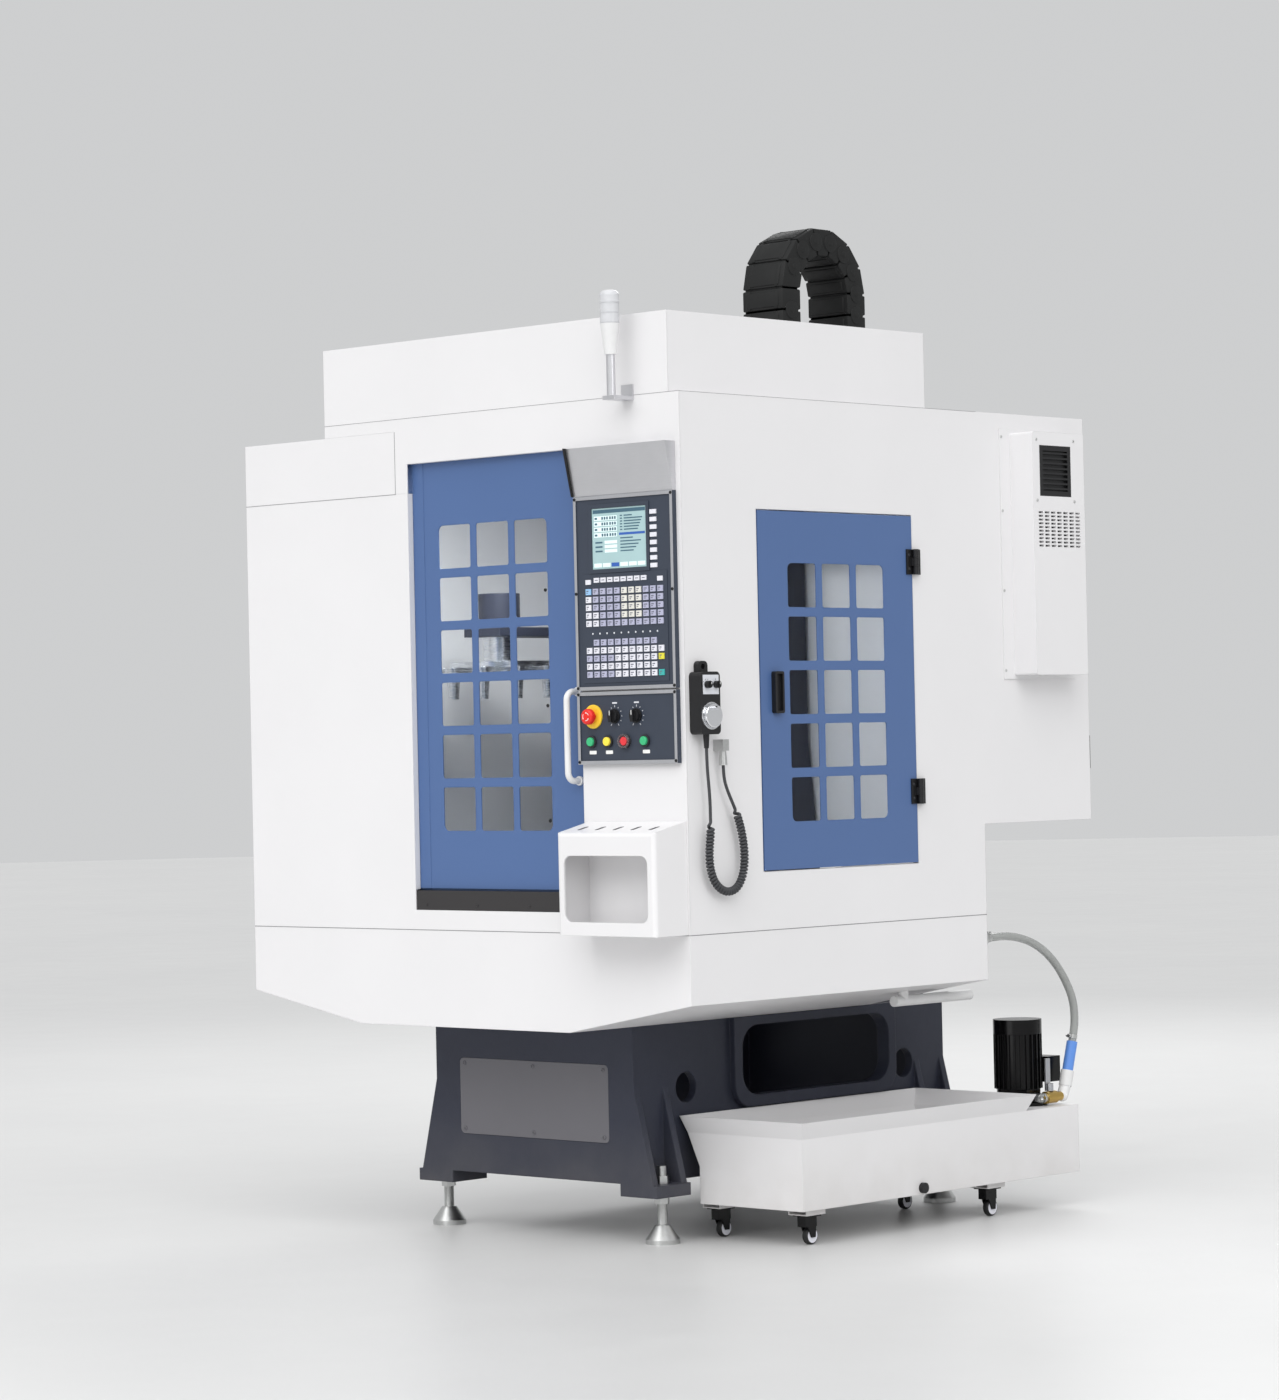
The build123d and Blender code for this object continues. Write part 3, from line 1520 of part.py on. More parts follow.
def tool_tray():
    """Open-fronted tray with rounded corners and oblong tool holes in its sloping top."""
    right = enclosure_right - tray_right_inset
    left = right - tray_width
    front = enclosure_front - tray_depth
    top = tray_bottom + tray_height
    outline = [
        (front, tray_bottom), (enclosure_front, tray_bottom), (enclosure_front, top + tray_rise), (front, top),
    ]
    body = prism_x(outline, (left, right))
    front_edges = body.faces().sort_by(Axis.Y)[0].edges().sort_by(Axis.Z)
    body = fillet(front_edges[1:], tray_round)
    mouth_height = tray_height - tray_lip - tray_top
    mouth = RectangleRounded(tray_width - 2 * tray_wall, mouth_height, tray_corner)
    mouth_z = tray_bottom + tray_lip + mouth_height / 2
    middle = (left + right) / 2
    body -= sketch_on_y(mouth, middle, (front - cut_over, enclosure_front - tray_back), mouth_z)
    inner_x = (left + tray_shell, right - tray_shell)
    inner_y = (front + tray_shell, enclosure_front - tray_back)
    body -= block(inner_x, inner_y, (tray_bottom + tray_shell, tray_bottom + tray_lip + tray_corner))
    body -= block(inner_x, inner_y, (tray_bottom + tray_lip, top - tray_top + tray_corner))
    for slot in range(tray_slot_count):
        x = middle + (slot - (tray_slot_count - 1) / 2) * tray_slot_pitch
        hole = SlotOverall(tray_slot_length, tray_slot_width, rotation=90)
        hole = Pos(x, front + tray_slot_setback, top + tray_rise) * hole
        body -= extrude(hole, tray_top + tray_rise, dir=(0, 0, -1))
    return body


def signal_lamp():
    """Lamp on a pole: bracket and pole, tapered holder, domed lens."""
    y = enclosure_front - lamp_offset
    base_top_z = lamp_base_bottom + lamp_base_height
    pole = rod_z(lamp_pole_radius, lamp_x, y, (lamp_pole_bottom, lamp_base_bottom))
    bracket_z = (lamp_pole_bottom, lamp_pole_bottom + lamp_bracket_height)
    pole += block(around(lamp_x, lamp_bracket_width), (enclosure_front - sheet, enclosure_front), bracket_z)
    arm_z = (lamp_pole_bottom, lamp_pole_bottom + lamp_bracket_height / 4)
    pole += block(around(lamp_x, lamp_bracket_width), (y - lamp_pole_radius, enclosure_front), arm_z)
    holder = cone_z(lamp_base_foot_radius, lamp_radius, lamp_x, y, (lamp_base_bottom, base_top_z))
    lens = rod_z(lamp_radius, lamp_x, y, (base_top_z, base_top_z + lamp_lens_height))
    lens = fillet(lens.edges().sort_by(Axis.Z)[-1], lamp_radius / 2)
    return [pole, holder, lens]


def pendant_body():
    """Hand pendant on the side wall with its dial flange, key plate, hook and cord glands."""
    y = pendant_front + pendant_width / 2
    z = pendant_bottom + pendant_height / 2
    face = enclosure_right + pendant_depth
    outline = RectangleRounded(pendant_width, pendant_height, pendant_corner)
    body = sketch_on_x(outline, (enclosure_right, face), y, z)
    top = pendant_bottom + pendant_height
    hook = RectangleRounded(pendant_hook_width, 2 * pendant_hook_height, pendant_corner)
    hook -= Pos(0, pendant_hook_height / 2) * Circle(pendant_hook_hole)
    body += sketch_on_x(hook, (enclosure_right, enclosure_right + pendant_hook_depth), y, top)
    plate_z = (top - pendant_plate_top - pendant_plate_height, top - pendant_plate_top)
    plate_y = around(y, pendant_width - 2 * pendant_plate_margin)
    body += block((face, face + pendant_plate_rise), plate_y, plate_z)
    dial_z = pendant_bottom + pendant_dial_z
    body += rod_x(pendant_dial_flange, (face, face + pendant_dial_flange_rise), y, dial_z)
    stem = (face - pendant_dial_stem, face + cut_over)
    body -= rod_x(pendant_dial_stem_radius + turn_gap, stem, y, dial_z)
    for knob_y in around(y, pendant_knob_spacing):
        hole = (face - pendant_knob_stem, face + cut_over)
        body -= rod_x(pendant_knob_stem_radius + turn_gap, hole, knob_y, sum(plate_z) / 2)
    exit_x, exit_y, exit_z = cord_route[0]
    relief_z = (exit_z, pendant_bottom)
    body += cone_z(pendant_relief_tip_radius, pendant_relief_radius, exit_x, exit_y, relief_z)
    return [body, cord_gland()]


def cord_gland():
    """Nut and tapered sleeve on the side wall where the pendant cord goes in."""
    x, y, z = coil_route[-1]
    nut_z = (z + gland_length, z + gland_length + gland_nut)
    gland = block((enclosure_right, x + gland_radius), around(y, 2 * gland_radius), nut_z)
    return gland + cone_z(coil_radius, gland_tip_radius, x, y, (z, z + gland_length))


def pendant_knob(side):
    """Small selector knob on the pendant's plate."""
    y = pendant_front + pendant_width / 2 + side * pendant_knob_spacing / 2
    top = pendant_bottom + pendant_height - pendant_plate_top
    z = top - pendant_plate_height / 2
    face = enclosure_right + pendant_depth + pendant_plate_rise + slide_gap
    body = rod_x(pendant_knob_radius, (face, face + pendant_knob_height), y, z)
    grip_x = (face + pendant_knob_height, face + pendant_knob_height + knob_skirt)
    body += block(grip_x, around(y, pendant_knob_radius / 2), around(z, 2 * pendant_knob_radius - knob_skirt))
    stem = (face - pendant_knob_stem, face)
    return body + rod_x(pendant_knob_stem_radius, stem, y, z)


def pendant_wheel():
    """Pulse dial with its crank pin and stem."""
    y = pendant_front + pendant_width / 2
    z = pendant_bottom + pendant_dial_z
    face = enclosure_right + pendant_depth + pendant_dial_flange_rise + slide_gap
    body = rod_x(pendant_dial_radius, (face, face + pendant_dial_height), y, z)
    body = fillet(body.edges().sort_by(Axis.X)[-1], pendant_dial_height / 3)
    crank_x = (face + pendant_dial_height, face + pendant_dial_height + pendant_crank_height)
    body += rod_x(pendant_crank_radius, crank_x, y, z + pendant_crank_circle)
    return body + rod_x(pendant_dial_stem_radius, (face - pendant_dial_stem, face), y, z)


def cord_radii(route):
    """Arc radii that use up a share of the shorter run at each corner."""
    radii = []
    for before, corner, after in zip(route, route[1:], route[2:]):
        first = Vector(*corner) - Vector(*before)
        second = Vector(*after) - Vector(*corner)
        turn = math.radians(first.get_angle(second))
        radii.append(bend_share * min(first.length, second.length) / math.tan(turn / 2))
    return radii


def cord_tube(name, route, radius):
    """A round tube along straight runs joined by tangent arcs."""
    radii = cord_radii(route)
    print(name, "radii", [round(value) for value in radii])
    path = FilletPolyline(*route, radius=radii)
    start = Vector(*route[0])
    profile = Plane(origin=start, z_dir=Vector(*route[1]) - start) * Circle(radius)
    tube = sweep(profile, path=path)
    volume_share = tube.volume / (math.pi * radius**2 * path.length)
    print(name, "length", round(path.length), "volume share", round(volume_share, 3))
    return tube


def coolant_tank():
    """Sheet tank with a slanted inner wall, flared lip, pump deck, caster channels and drain plug."""
    body = tank_tub(0, tank_top) - tank_tub(sheet, tank_top + cut_over)
    deck_x = (tank_right - pump_deck_width, tank_right)
    deck = block(deck_x, (tank_open_rear - sheet, tank_rear), (tank_bottom, tank_top))
    deck -= block(
        (deck_x[0] + sheet, tank_right - sheet),
        (tank_open_rear - sheet - cut_over, tank_rear - sheet),
        (tank_bottom + sheet, tank_top - sheet),
    )
    body -= block(
        (deck_x[0] + sheet, tank_right - sheet),
        (tank_open_rear - sheet - cut_over, tank_open_rear + cut_over),
        (tank_bottom + sheet, tank_top - sheet),
    )
    body += deck
    body += tank_lip(0) - tank_lip(sheet)
    for x in caster_x:
        for y in caster_y:
            body += caster_channel(x, y)
    plug_x = (tank_right, tank_right + plug_length)
    return body + rod_x(plug_radius, plug_x, plug_y, tank_bottom + plug_rise)


def tank_tub(inset, top):
    """The tank's open part as a solid, moved inwards by an inset."""
    left = tank_left + inset
    points = (
        (left, tank_bottom + inset), (tank_right - inset, tank_bottom + inset), (tank_right - inset, top),
        (left - tank_flare, top), (left - tank_flare, tank_top), (left, tank_bottom + tank_flare_start),
    )
    return prism_y(points, (tank_front + inset, tank_open_rear - inset))


def tank_lip(inset):
    """Solid inside the flared lip's outer or inner face."""
    low = (tank_left - tank_flare + inset, tank_right - inset, tank_front + inset, tank_open_rear - inset)
    reach = tank_lip_reach
    high = (low[0] - tank_lip_left_reach, low[1] + reach, low[2] - reach, low[3] + reach)
    faces = []
    for z, ends in ((tank_top, low), (tank_top + tank_lip_height, high)):
        rectangle = Rectangle(ends[1] - ends[0], ends[3] - ends[2])
        faces.append(Pos((ends[0] + ends[1]) / 2, (ends[2] + ends[3]) / 2, z) * rectangle)
    return loft(faces)


def caster_channel(x, y):
    """Folded channel under the tank that takes a caster's plate."""
    z_ends = (tank_bottom - bracket_height, tank_bottom)
    channel = block(around(x, bracket_width), around(y, bracket_depth), z_ends)
    hollow_x = around(x, bracket_width - 2 * sheet)
    hollow_y = around(y, bracket_depth + cut_over)
    return channel - block(hollow_x, hollow_y, (z_ends[0] + sheet, z_ends[1]))


def caster_places():
    """Stem places of the four casters."""
    return [(x, y) for x in caster_x for y in caster_y]


def caster_forks():
    """Plate and two-cheeked fork of each caster, with the axle between the cheeks."""
    forks = []
    top = tank_bottom - bracket_height
    for x, y in caster_places():
        fork = block(around(x, caster_plate_size), around(y, caster_plate_size), (top - caster_plate, top))
        outer = around(x, caster_fork_width)
        wheel_y = y + caster_trail
        crown_z = (2 * caster_wheel_radius + caster_side_gap, top - caster_plate)
        fork += block(outer, (y - caster_wheel_radius, y + caster_wheel_radius), crown_z)
        for ends in ((outer[0], outer[0] + caster_fork_wall), (outer[1] - caster_fork_wall, outer[1])):
            cheek = (
                (y - caster_wheel_radius, crown_z[1]), (y + caster_wheel_radius, crown_z[1]),
                (wheel_y + 2 * caster_axle_radius, caster_wheel_radius - caster_axle_radius),
                (wheel_y - 2 * caster_axle_radius, caster_wheel_radius - caster_axle_radius),
            )
            fork += prism_x(cheek, ends)
        fork += rod_x(caster_axle_radius, outer, wheel_y, caster_wheel_radius)
        forks.append(fork)
    return forks


def caster_wheel(x, y):
    """Caster wheel with a rounded tread, bored for its axle."""
    wheel_y = y + caster_trail
    wheel = rod_x(caster_wheel_radius, around(x, caster_wheel_width), wheel_y, caster_wheel_radius)
    wheel = fillet(wheel.edges(), caster_wheel_width / 4)
    bore = around(x, caster_wheel_width + cut_over)
    return wheel - rod_x(caster_axle_radius + turn_gap, bore, wheel_y, caster_wheel_radius)


def coolant_pump():
    """Finned pump motor on its flange with a terminal box and outlet block."""
    base_z = (tank_top, tank_top + pump_flange)
    top = tank_top + pump_height
    body = rod_z(pump_flange_radius, pump_x, pump_y, base_z)
    body += rod_z(pump_body_radius, pump_x, pump_y, (base_z[1], top))
    body += rod_z(pump_radius, pump_x, pump_y, (top - pump_cap_height, top))
    fin_x = (pump_body_radius - pump_fin_width, pump_radius)
    for fin in range(pump_fin_count):
        turn = Pos(pump_x, pump_y, 0) * Rot(0, 0, fin * 360 / pump_fin_count)
        fin_z = (tank_top + outlet_base_height, top - pump_cap_height)
        body += turn * block(fin_x, around(0, pump_fin_width), fin_z)
    box_z = (tank_top + pump_box_bottom, tank_top + pump_box_bottom + pump_box_height)
    box_y = (pump_y + pump_body_radius - pump_fin_width, pump_y + pump_radius + pump_box_depth)
    body += block(around(pump_x + pump_box_width / 2, pump_box_width), box_y, box_z)
    outlet_x = (pump_x, pipe_x - 2 * pipe_radius)
    outlet_y = around(valve_front - outlet_base_width / 2 + pipe_radius, outlet_base_width)
    body += block(outlet_x, outlet_y, (tank_top, tank_top + outlet_base_height))
    return body


def pump_fittings():
    """Outlet pipe, valve body, elbow and hose coupling beside the pump."""
    start_x = pipe_x - 2 * pipe_radius
    pipe_y = valve_front - pipe_radius
    pipe = rod_x(pipe_radius, (start_x, pipe_x), pipe_y, pipe_z)
    pipe += Pos(pipe_x, pipe_y, pipe_z) * Sphere(pipe_radius)
    pipe += rod_y(pipe_radius, pipe_x, (pipe_y, elbow_y), pipe_z)
    pipe += Pos(pipe_x, elbow_y, pipe_z) * Sphere(elbow_radius)
    valve_y = (valve_front, valve_front + valve_length)
    pipe += rod_y(valve_radius, pipe_x, valve_y, pipe_z)
    stem_z = (pipe_z, pipe_z + valve_radius + valve_stem_height)
    pipe += rod_z(valve_stem_radius, pipe_x, sum(valve_y) / 2, stem_z)
    pipe += rod_between((pipe_x, elbow_y, pipe_z), coupling_bottom, elbow_radius)
    run = Vector(*coupling_top) - Vector(*coupling_bottom)
    nut_end = Vector(*coupling_bottom) + run * coupling_nut_share
    pipe += rod_between(coupling_bottom, coupling_top, coupling_radius)
    pipe += rod_between(coupling_bottom, tuple(nut_end), coupling_nut_radius)
    inlet_y = (enclosure_rear, hose_route[0][1])
    inlet = rod_y(hose_inlet_radius, hose_inlet_x, inlet_y, hose_inlet_z)
    return [pipe, inlet]


def valve_lever():
    """Flat lever that turns on the valve's stem."""
    y = valve_front + valve_length / 2
    low = pipe_z + valve_radius + slide_gap
    hub = rod_z(2 * valve_stem_radius, pipe_x, y, (low, low + lever_width))
    blade_x = (pipe_x - 2 * valve_stem_radius, pipe_x - 2 * valve_stem_radius + lever_thickness)
    hub += block(blade_x, around(y, lever_width), (low, low + lever_length))
    bore = (low - cut_over, low + lever_length)
    return hub - rod_z(valve_stem_radius + turn_gap, pipe_x, y, bore)


def drain_pipe():
    """Plastic drain pipe under the pan with its stub up to the sloped floor."""
    y_ends = (drain_front, drain_front + drain_length)
    pipe = rod_y(drain_radius, drain_x, y_ends, drain_z)
    stub_y = drain_front + drain_stub
    stub = rod_z(drain_radius, drain_x, stub_y, (drain_z, seam_z))
    stub -= prism_y(pan_profile(0, roof_top), (enclosure_front, cabinet_rear))
    pipe += stub
    return pipe - rod_y(drain_bore, drain_x, (stub_y, y_ends[1] + cut_over), drain_z)


def node(name, shape):
    """Write one node, from a solid or a list of separate solids."""
    shapes = shape if isinstance(shape, list) else [shape]
    solids = [solid for piece in shapes for solid in piece.solids()]
    export_step(solids[0] if len(solids) == 1 else Compound(children=solids), f"parts/{name}.step")


node("base_casting", base_casting())
node("base_front_plate", front_plate_solid(0))
node("levelling_feet", levelling_feet())
node("column", column())
node("guide_rails", guide_rails())
node("saddle", saddle())
node("table", table())
node("spindle_head", spindle_head())
node("spindle", spindle())
node("tool_drum", tool_drum())
node("chip_pan", chip_pan())
node("drain_pipe", drain_pipe())
node("front_panel", front_panel())
node("left_front_panel", left_front_panel())
node("left_top_cover", left_top_cover())
node("left_side_panel", left_side_panel())
node("right_side_panel", right_side_panel())
node("roof_housing", roof_housing())
node("door_track", door_track())
node("main_door_panel", main_door_panel())
node("main_door_window", main_door_window())
node("main_door_handle", main_door_handle())
node("side_door_panel", side_door_panel())
node("side_door_window", side_door_window())
node("side_door_hardware", side_door_hardware())
node("hinge_leaves", hinge_leaves())
node("electrical_cabinet", electrical_cabinet())
node("cabinet_door", cabinet_door())
node("cabinet_cooler", cabinet_cooler())
node("cable_chain", cable_chain())
node("control_panel", control_panel())
node("display_screen", display_screen())
node("keypad", keypad())
node("operator_panel", operator_panel())
node("panel_hood", panel_hood())
node("emergency_stop", emergency_stop())
button_names = ("cycle_start_button", "feed_hold_button", "power_off_button", "power_on_button")
for button, button_offset in zip(button_names, button_offsets):
    node(button, push_button(button_offset))
node("feed_knob", panel_knob(feed_knob_offset))
node("spindle_knob", panel_knob(spindle_knob_offset))
node("tool_tray", tool_tray())
node("signal_lamp", signal_lamp())
node("pendant_body", pendant_body())
node("pendant_axis_knob", pendant_knob(-1))
node("pendant_step_knob", pendant_knob(1))
node("pendant_wheel", pendant_wheel())
node("pendant_cord", cord_tube("pendant_cord", cord_route, cord_radius))
node("pendant_coil", cord_tube("pendant_coil", coil_route, coil_radius))
node("coolant_tank", coolant_tank())
node("caster_forks", caster_forks())
for number, (stem_x, stem_y) in enumerate(caster_places(), start=1):
    node(f"caster_wheel_{number}", caster_wheel(stem_x, stem_y))
node("coolant_pump", coolant_pump())
node("pump_fittings", pump_fittings())
node("valve_lever", valve_lever())
node("coolant_hose", cord_tube("coolant_hose", hose_route, hose_radius))
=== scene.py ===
import math

import bmesh
import bpy
from mathutils import Matrix, Vector


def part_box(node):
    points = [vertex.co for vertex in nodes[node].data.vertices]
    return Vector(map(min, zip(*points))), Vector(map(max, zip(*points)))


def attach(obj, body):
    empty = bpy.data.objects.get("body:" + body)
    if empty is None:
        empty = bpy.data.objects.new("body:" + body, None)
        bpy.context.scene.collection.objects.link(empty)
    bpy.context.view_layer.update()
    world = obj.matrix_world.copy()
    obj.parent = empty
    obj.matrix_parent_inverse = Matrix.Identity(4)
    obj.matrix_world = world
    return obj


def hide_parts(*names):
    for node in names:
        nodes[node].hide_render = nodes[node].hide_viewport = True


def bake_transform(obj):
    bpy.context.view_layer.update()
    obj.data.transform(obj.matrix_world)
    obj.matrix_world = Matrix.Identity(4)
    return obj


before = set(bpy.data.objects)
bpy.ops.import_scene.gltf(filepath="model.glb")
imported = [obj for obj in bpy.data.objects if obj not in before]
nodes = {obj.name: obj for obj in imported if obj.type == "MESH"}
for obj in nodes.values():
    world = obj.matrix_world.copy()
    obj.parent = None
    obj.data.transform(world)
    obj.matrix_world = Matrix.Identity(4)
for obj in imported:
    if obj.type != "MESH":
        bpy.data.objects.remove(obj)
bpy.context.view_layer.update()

# Places below are millimetres in the model's frame, as in the CAD source; meshes are made in metres.
MM = 0.001
ROOT = "machine"


# Camera

CAMERA_PLACE = (7.55872, -8.11400, 1.29063)
CAMERA_RIGHT = (0.72678105, 0.68653046, -0.02156928)
CAMERA_UP = (0.02327893, 0.00676481, 0.99970612)
CAMERA_BACK = (0.68647462, -0.72706957, -0.01106516)
CAMERA_LENS = 104.43
SENSOR_HEIGHT = 36


def put(name, data):
    """A new object with this data, placed in the scene."""
    made = bpy.data.objects.new(name, data)
    bpy.context.scene.collection.objects.link(made)
    return made


def add_camera():
    """Camera at the photograph's place and angle."""
    data = bpy.data.cameras.new("camera")
    data.sensor_fit = "VERTICAL"
    data.sensor_height = SENSOR_HEIGHT
    data.lens = CAMERA_LENS
    data.clip_end = 100
    data.dof.use_dof = False
    camera = put("camera", data)
    turn = Matrix((CAMERA_RIGHT, CAMERA_UP, CAMERA_BACK)).transposed().to_4x4()
    camera.matrix_world = Matrix.Translation(CAMERA_PLACE) @ turn
    bpy.context.scene.camera = camera


add_camera()


# Materials

# Cosines between the plain and the softened normal, at an edge and away from it.
EDGE_COSINES = (0.75, 0.995)
# Radii of the softened edges and heights of the surface bumps, in metres.
PAINT_EDGE, CAST_EDGE, METAL_EDGE, PLASTIC_EDGE = 0.0025, 0.006, 0.001, 0.0008
PAINT_PEEL, CAST_SKIN, METAL_LINES, PLASTIC_SKIN, WINDOW_WAVES = 0.0004, 0.0012, 0.0003, 0.0003, 0.002


def srgb(red, green, blue):
    """A colour given in the 0 to 255 display scale, as linear RGBA."""
    def linear(value):
        share = value / 255
        return share / 12.92 if share <= 0.04045 else ((share + 0.055) / 1.055) ** 2.4
    return (linear(red), linear(green), linear(blue), 1.0)


def scaled(color, share):
    """A lighter or darker form of a colour."""
    return tuple(min(1.0, channel * share) for channel in color[:3]) + (1.0,)


PAINT_DUST, CAST_DUST = srgb(150, 142, 130), srgb(122, 118, 112)
MATERIALS = {}


class Nodes:
    """A material's node tree, with short calls for the nodes used here."""

    def __init__(self, name):
        MATERIALS[name] = material = bpy.data.materials.new(name)
        material.use_nodes = True
        self.tree = material.node_tree
        self.shader = self.tree.nodes["Principled BSDF"]
        self.coords = self.tree.nodes.new("ShaderNodeTexCoord").outputs["Object"]

    def plug(self, value, socket):
        """Link another node's output to an input, or give the input a plain value."""
        if isinstance(value, bpy.types.NodeSocket):
            self.tree.links.new(value, socket)
        else:
            socket.default_value = value

    def add(self, kind, inputs=(), **settings):
        made = self.tree.nodes.new("ShaderNode" + kind)
        for key, value in settings.items():
            setattr(made, key, value)
        for key, value in dict(inputs).items():
            self.plug(value, made.inputs[key])
        return made

    def set(self, **values):
        for key, value in values.items():
            self.plug(value, self.shader.inputs[key.replace("_", " ")])

    def noise(self, scale, detail=3.0, stretch=None):
        where = self.coords
        if stretch:
            where = self.add("Mapping", {"Vector": where, "Scale": stretch}).outputs["Vector"]
        return self.add("TexNoise", {"Vector": where, "Scale": scale, "Detail": detail}).outputs["Fac"]

    def span(self, value, low, high, start=0.0, end=1.0):
        inputs = {"Value": value, "From Min": start, "From Max": end, "To Min": low, "To Max": high}
        return self.add("MapRange", inputs).outputs["Result"]

    def mix(self, share, first, second):
        """Blend of two colours, which a colour mix takes at inputs 6 and 7."""
        return self.add("Mix", {0: share, 6: first, 7: second}, data_type="RGBA").outputs[2]

    def times(self, first, second):
        return self.add("Math", {0: first, 1: second}, operation="MULTIPLY").outputs[0]

    def soft_edges(self, radius):
        return self.add("Bevel", {"Radius": radius}, samples=4).outputs["Normal"]

    def edge_share(self, soft):
        """How near a point is to an outer or inner edge, from the softened normal."""
        plain = self.add("NewGeometry").outputs["Normal"]
        along = self.add("VectorMath", {0: soft, 1: plain}, operation="DOT_PRODUCT").outputs["Value"]
        return self.span(along, 1.0, 0.0, *EDGE_COSINES)

    def low_share(self, most, reach):
        """How near a point is to the floor: the most at the floor, and none from a height up."""
        height = self.add("SeparateXYZ", {0: self.coords}).outputs["Z"]
        return self.span(height, most, 0.0, 0.0, reach)

    def bump(self, height, strength, distance, normal=None):
        inputs = {"Height": height, "Strength": strength, "Distance": distance}
        if normal is not None:
            inputs["Normal"] = normal
        return self.add("Bump", inputs).outputs["Normal"]


def painted(name, color, rough, peel=0.12, mottle=0.03, edge=1.12, dust=None, shine=0.45):
    """Coated sheet metal: orange peel, uneven sheen, rubbed edges and dust towards the floor."""
    made, color = Nodes(name), srgb(*color)
    soft = made.soft_edges(PAINT_EDGE)
    base = made.mix(made.noise(3.0), scaled(color, 1 - mottle), scaled(color, 1 + mottle))
    rub = made.times(made.edge_share(soft), made.noise(45.0, 4.0))
    base = made.mix(rub, base, scaled(color, edge))
    if dust:
        reach, amount = dust
        cloud = made.times(made.low_share(1.0, reach), made.noise(9.0, 6.0))
        base = made.mix(made.times(cloud, amount), base, PAINT_DUST)
    made.set(Base_Color=base, Roughness=made.span(made.noise(14.0), rough - 0.05, rough + 0.07))
    made.set(Specular_IOR_Level=shine)
    made.set(Normal=made.bump(made.noise(900.0, 2.0), peel, PAINT_PEEL, soft))


def cast(name, color, rough):
    """Painted casting: coarse sand skin under the paint, soft corners, scuffed and dusty."""
    made, color = Nodes(name), srgb(*color)
    soft = made.soft_edges(CAST_EDGE)
    base = made.mix(made.noise(5.0, 5.0), scaled(color, 0.88), scaled(color, 1.12))
    scuff = made.span(made.noise(30.0, 8.0), 0.0, 1.0, 0.56, 0.72)
    base = made.mix(made.times(made.edge_share(soft), scuff), base, scaled(color, 2.2))
    dust = made.times(made.low_share(0.5, 0.32), made.noise(11.0, 6.0))
    base = made.mix(dust, base, CAST_DUST)
    made.set(Base_Color=base, Roughness=made.span(made.noise(60.0), rough - 0.06, rough + 0.1))
    made.set(Specular_IOR_Level=0.32)
    made.set(Normal=made.bump(made.noise(220.0, 5.0), 0.3, CAST_SKIN, soft))


def metal(name, color, rough, stretch, scale=22.0, grain=0.15):
    """Bare metal with fine lines from its brushing, grinding or turning."""
    made, color = Nodes(name), srgb(*color)
    lines = made.noise(scale, 6.0, stretch)
    base = made.mix(lines, scaled(color, 0.86), scaled(color, 1.1))
    stain = made.span(made.noise(7.0, 5.0), 0.0, 0.35, 0.45, 0.8)
    base = made.mix(stain, base, scaled(color, 0.75))
    made.set(Base_Color=base, Metallic=1.0)
    made.set(Roughness=made.span(lines, rough - 0.06, rough + 0.12))
    made.set(Normal=made.bump(lines, grain, METAL_LINES, made.soft_edges(METAL_EDGE)))


def moulded(
    name, color, rough, skin=0.18, scale=1400.0, glow=0.0, see_through=0.0, edge_radius=PLASTIC_EDGE,
):
    """Moulded plastic or rubber with a fine spark-eroded skin and finger shine."""
    made, color = Nodes(name), srgb(*color)
    soft = made.soft_edges(edge_radius)
    base = made.mix(made.noise(18.0), scaled(color, 0.93), scaled(color, 1.07))
    rub = made.times(made.edge_share(soft), made.noise(160.0, 4.0))
    base = made.mix(rub, base, scaled(color, 1.5))
    made.set(Base_Color=base, Roughness=made.span(made.noise(55.0, 4.0), rough - 0.07, rough + 0.09))
    made.set(Specular_IOR_Level=0.36)
    made.set(Normal=made.bump(made.noise(scale, 2.0), skin, PLASTIC_SKIN, soft))
    if see_through:
        made.set(Transmission_Weight=see_through, IOR=1.45)
    if glow:
        made.set(Emission_Color=color, Emission_Strength=glow)


def clear_sheet(name, color):
    """Polycarbonate window: clear, slightly hazed by wiping, with a cool tint."""
    made, color = Nodes(name), srgb(*color)
    haze = made.noise(26.0, 5.0, (1, 1, 4))
    made.set(Base_Color=made.mix(haze, color, scaled(color, 0.96)))
    made.set(Roughness=made.span(haze, 0.0, 0.06, 0.45, 0.85))
    made.set(Normal=made.bump(made.noise(2.5), 0.05, WINDOW_WAVES))
    made.set(Transmission_Weight=1.0, IOR=1.12)


painted("paint_white", (224, 223, 224), 0.38, dust=(0.3, 0.5))
painted("paint_blue", (76, 103, 150), 0.36, mottle=0.04, edge=1.5)
painted("paint_track", (46, 44, 45), 0.42, edge=2.0)
painted("paint_cover", (101, 100, 105), 0.45, peel=0.2, mottle=0.06, edge=1.4)
painted("paint_black", (7, 7, 8), 0.2, peel=0.08, edge=2.5, shine=0.22)
cast("cast_slate", (48, 51, 64), 0.46)
metal("steel_ground", (188, 190, 194), 0.3, (1, 90, 1))
metal("steel_turned", (205, 206, 208), 0.24, (1, 1, 120))
metal("steel_brushed", (214, 214, 217), 0.34, (2, 2, 260), 12.0, 0.1)
metal("zinc", (196, 197, 196), 0.3, (3, 3, 3), 60.0, 0.1)
metal("chrome", (226, 227, 230), 0.1, (1, 60, 60), 30.0, 0.04)
metal("brass", (196, 164, 92), 0.3, (2, 60, 2), 18.0, 0.15)
clear_sheet("glass_clear", (232, 238, 240))
moulded("panel_grey", (54, 61, 74), 0.5, 0.25, 900.0)
moulded("drive_grey", (112, 116, 122), 0.45, 0.2, 900.0)
metal("panel_rim", (196, 197, 201), 0.42, (60, 1, 1), 18.0, 0.1)
moulded("plastic_black", (24, 24, 26), 0.42)
moulded("plastic_dark", (44, 45, 49), 0.5)
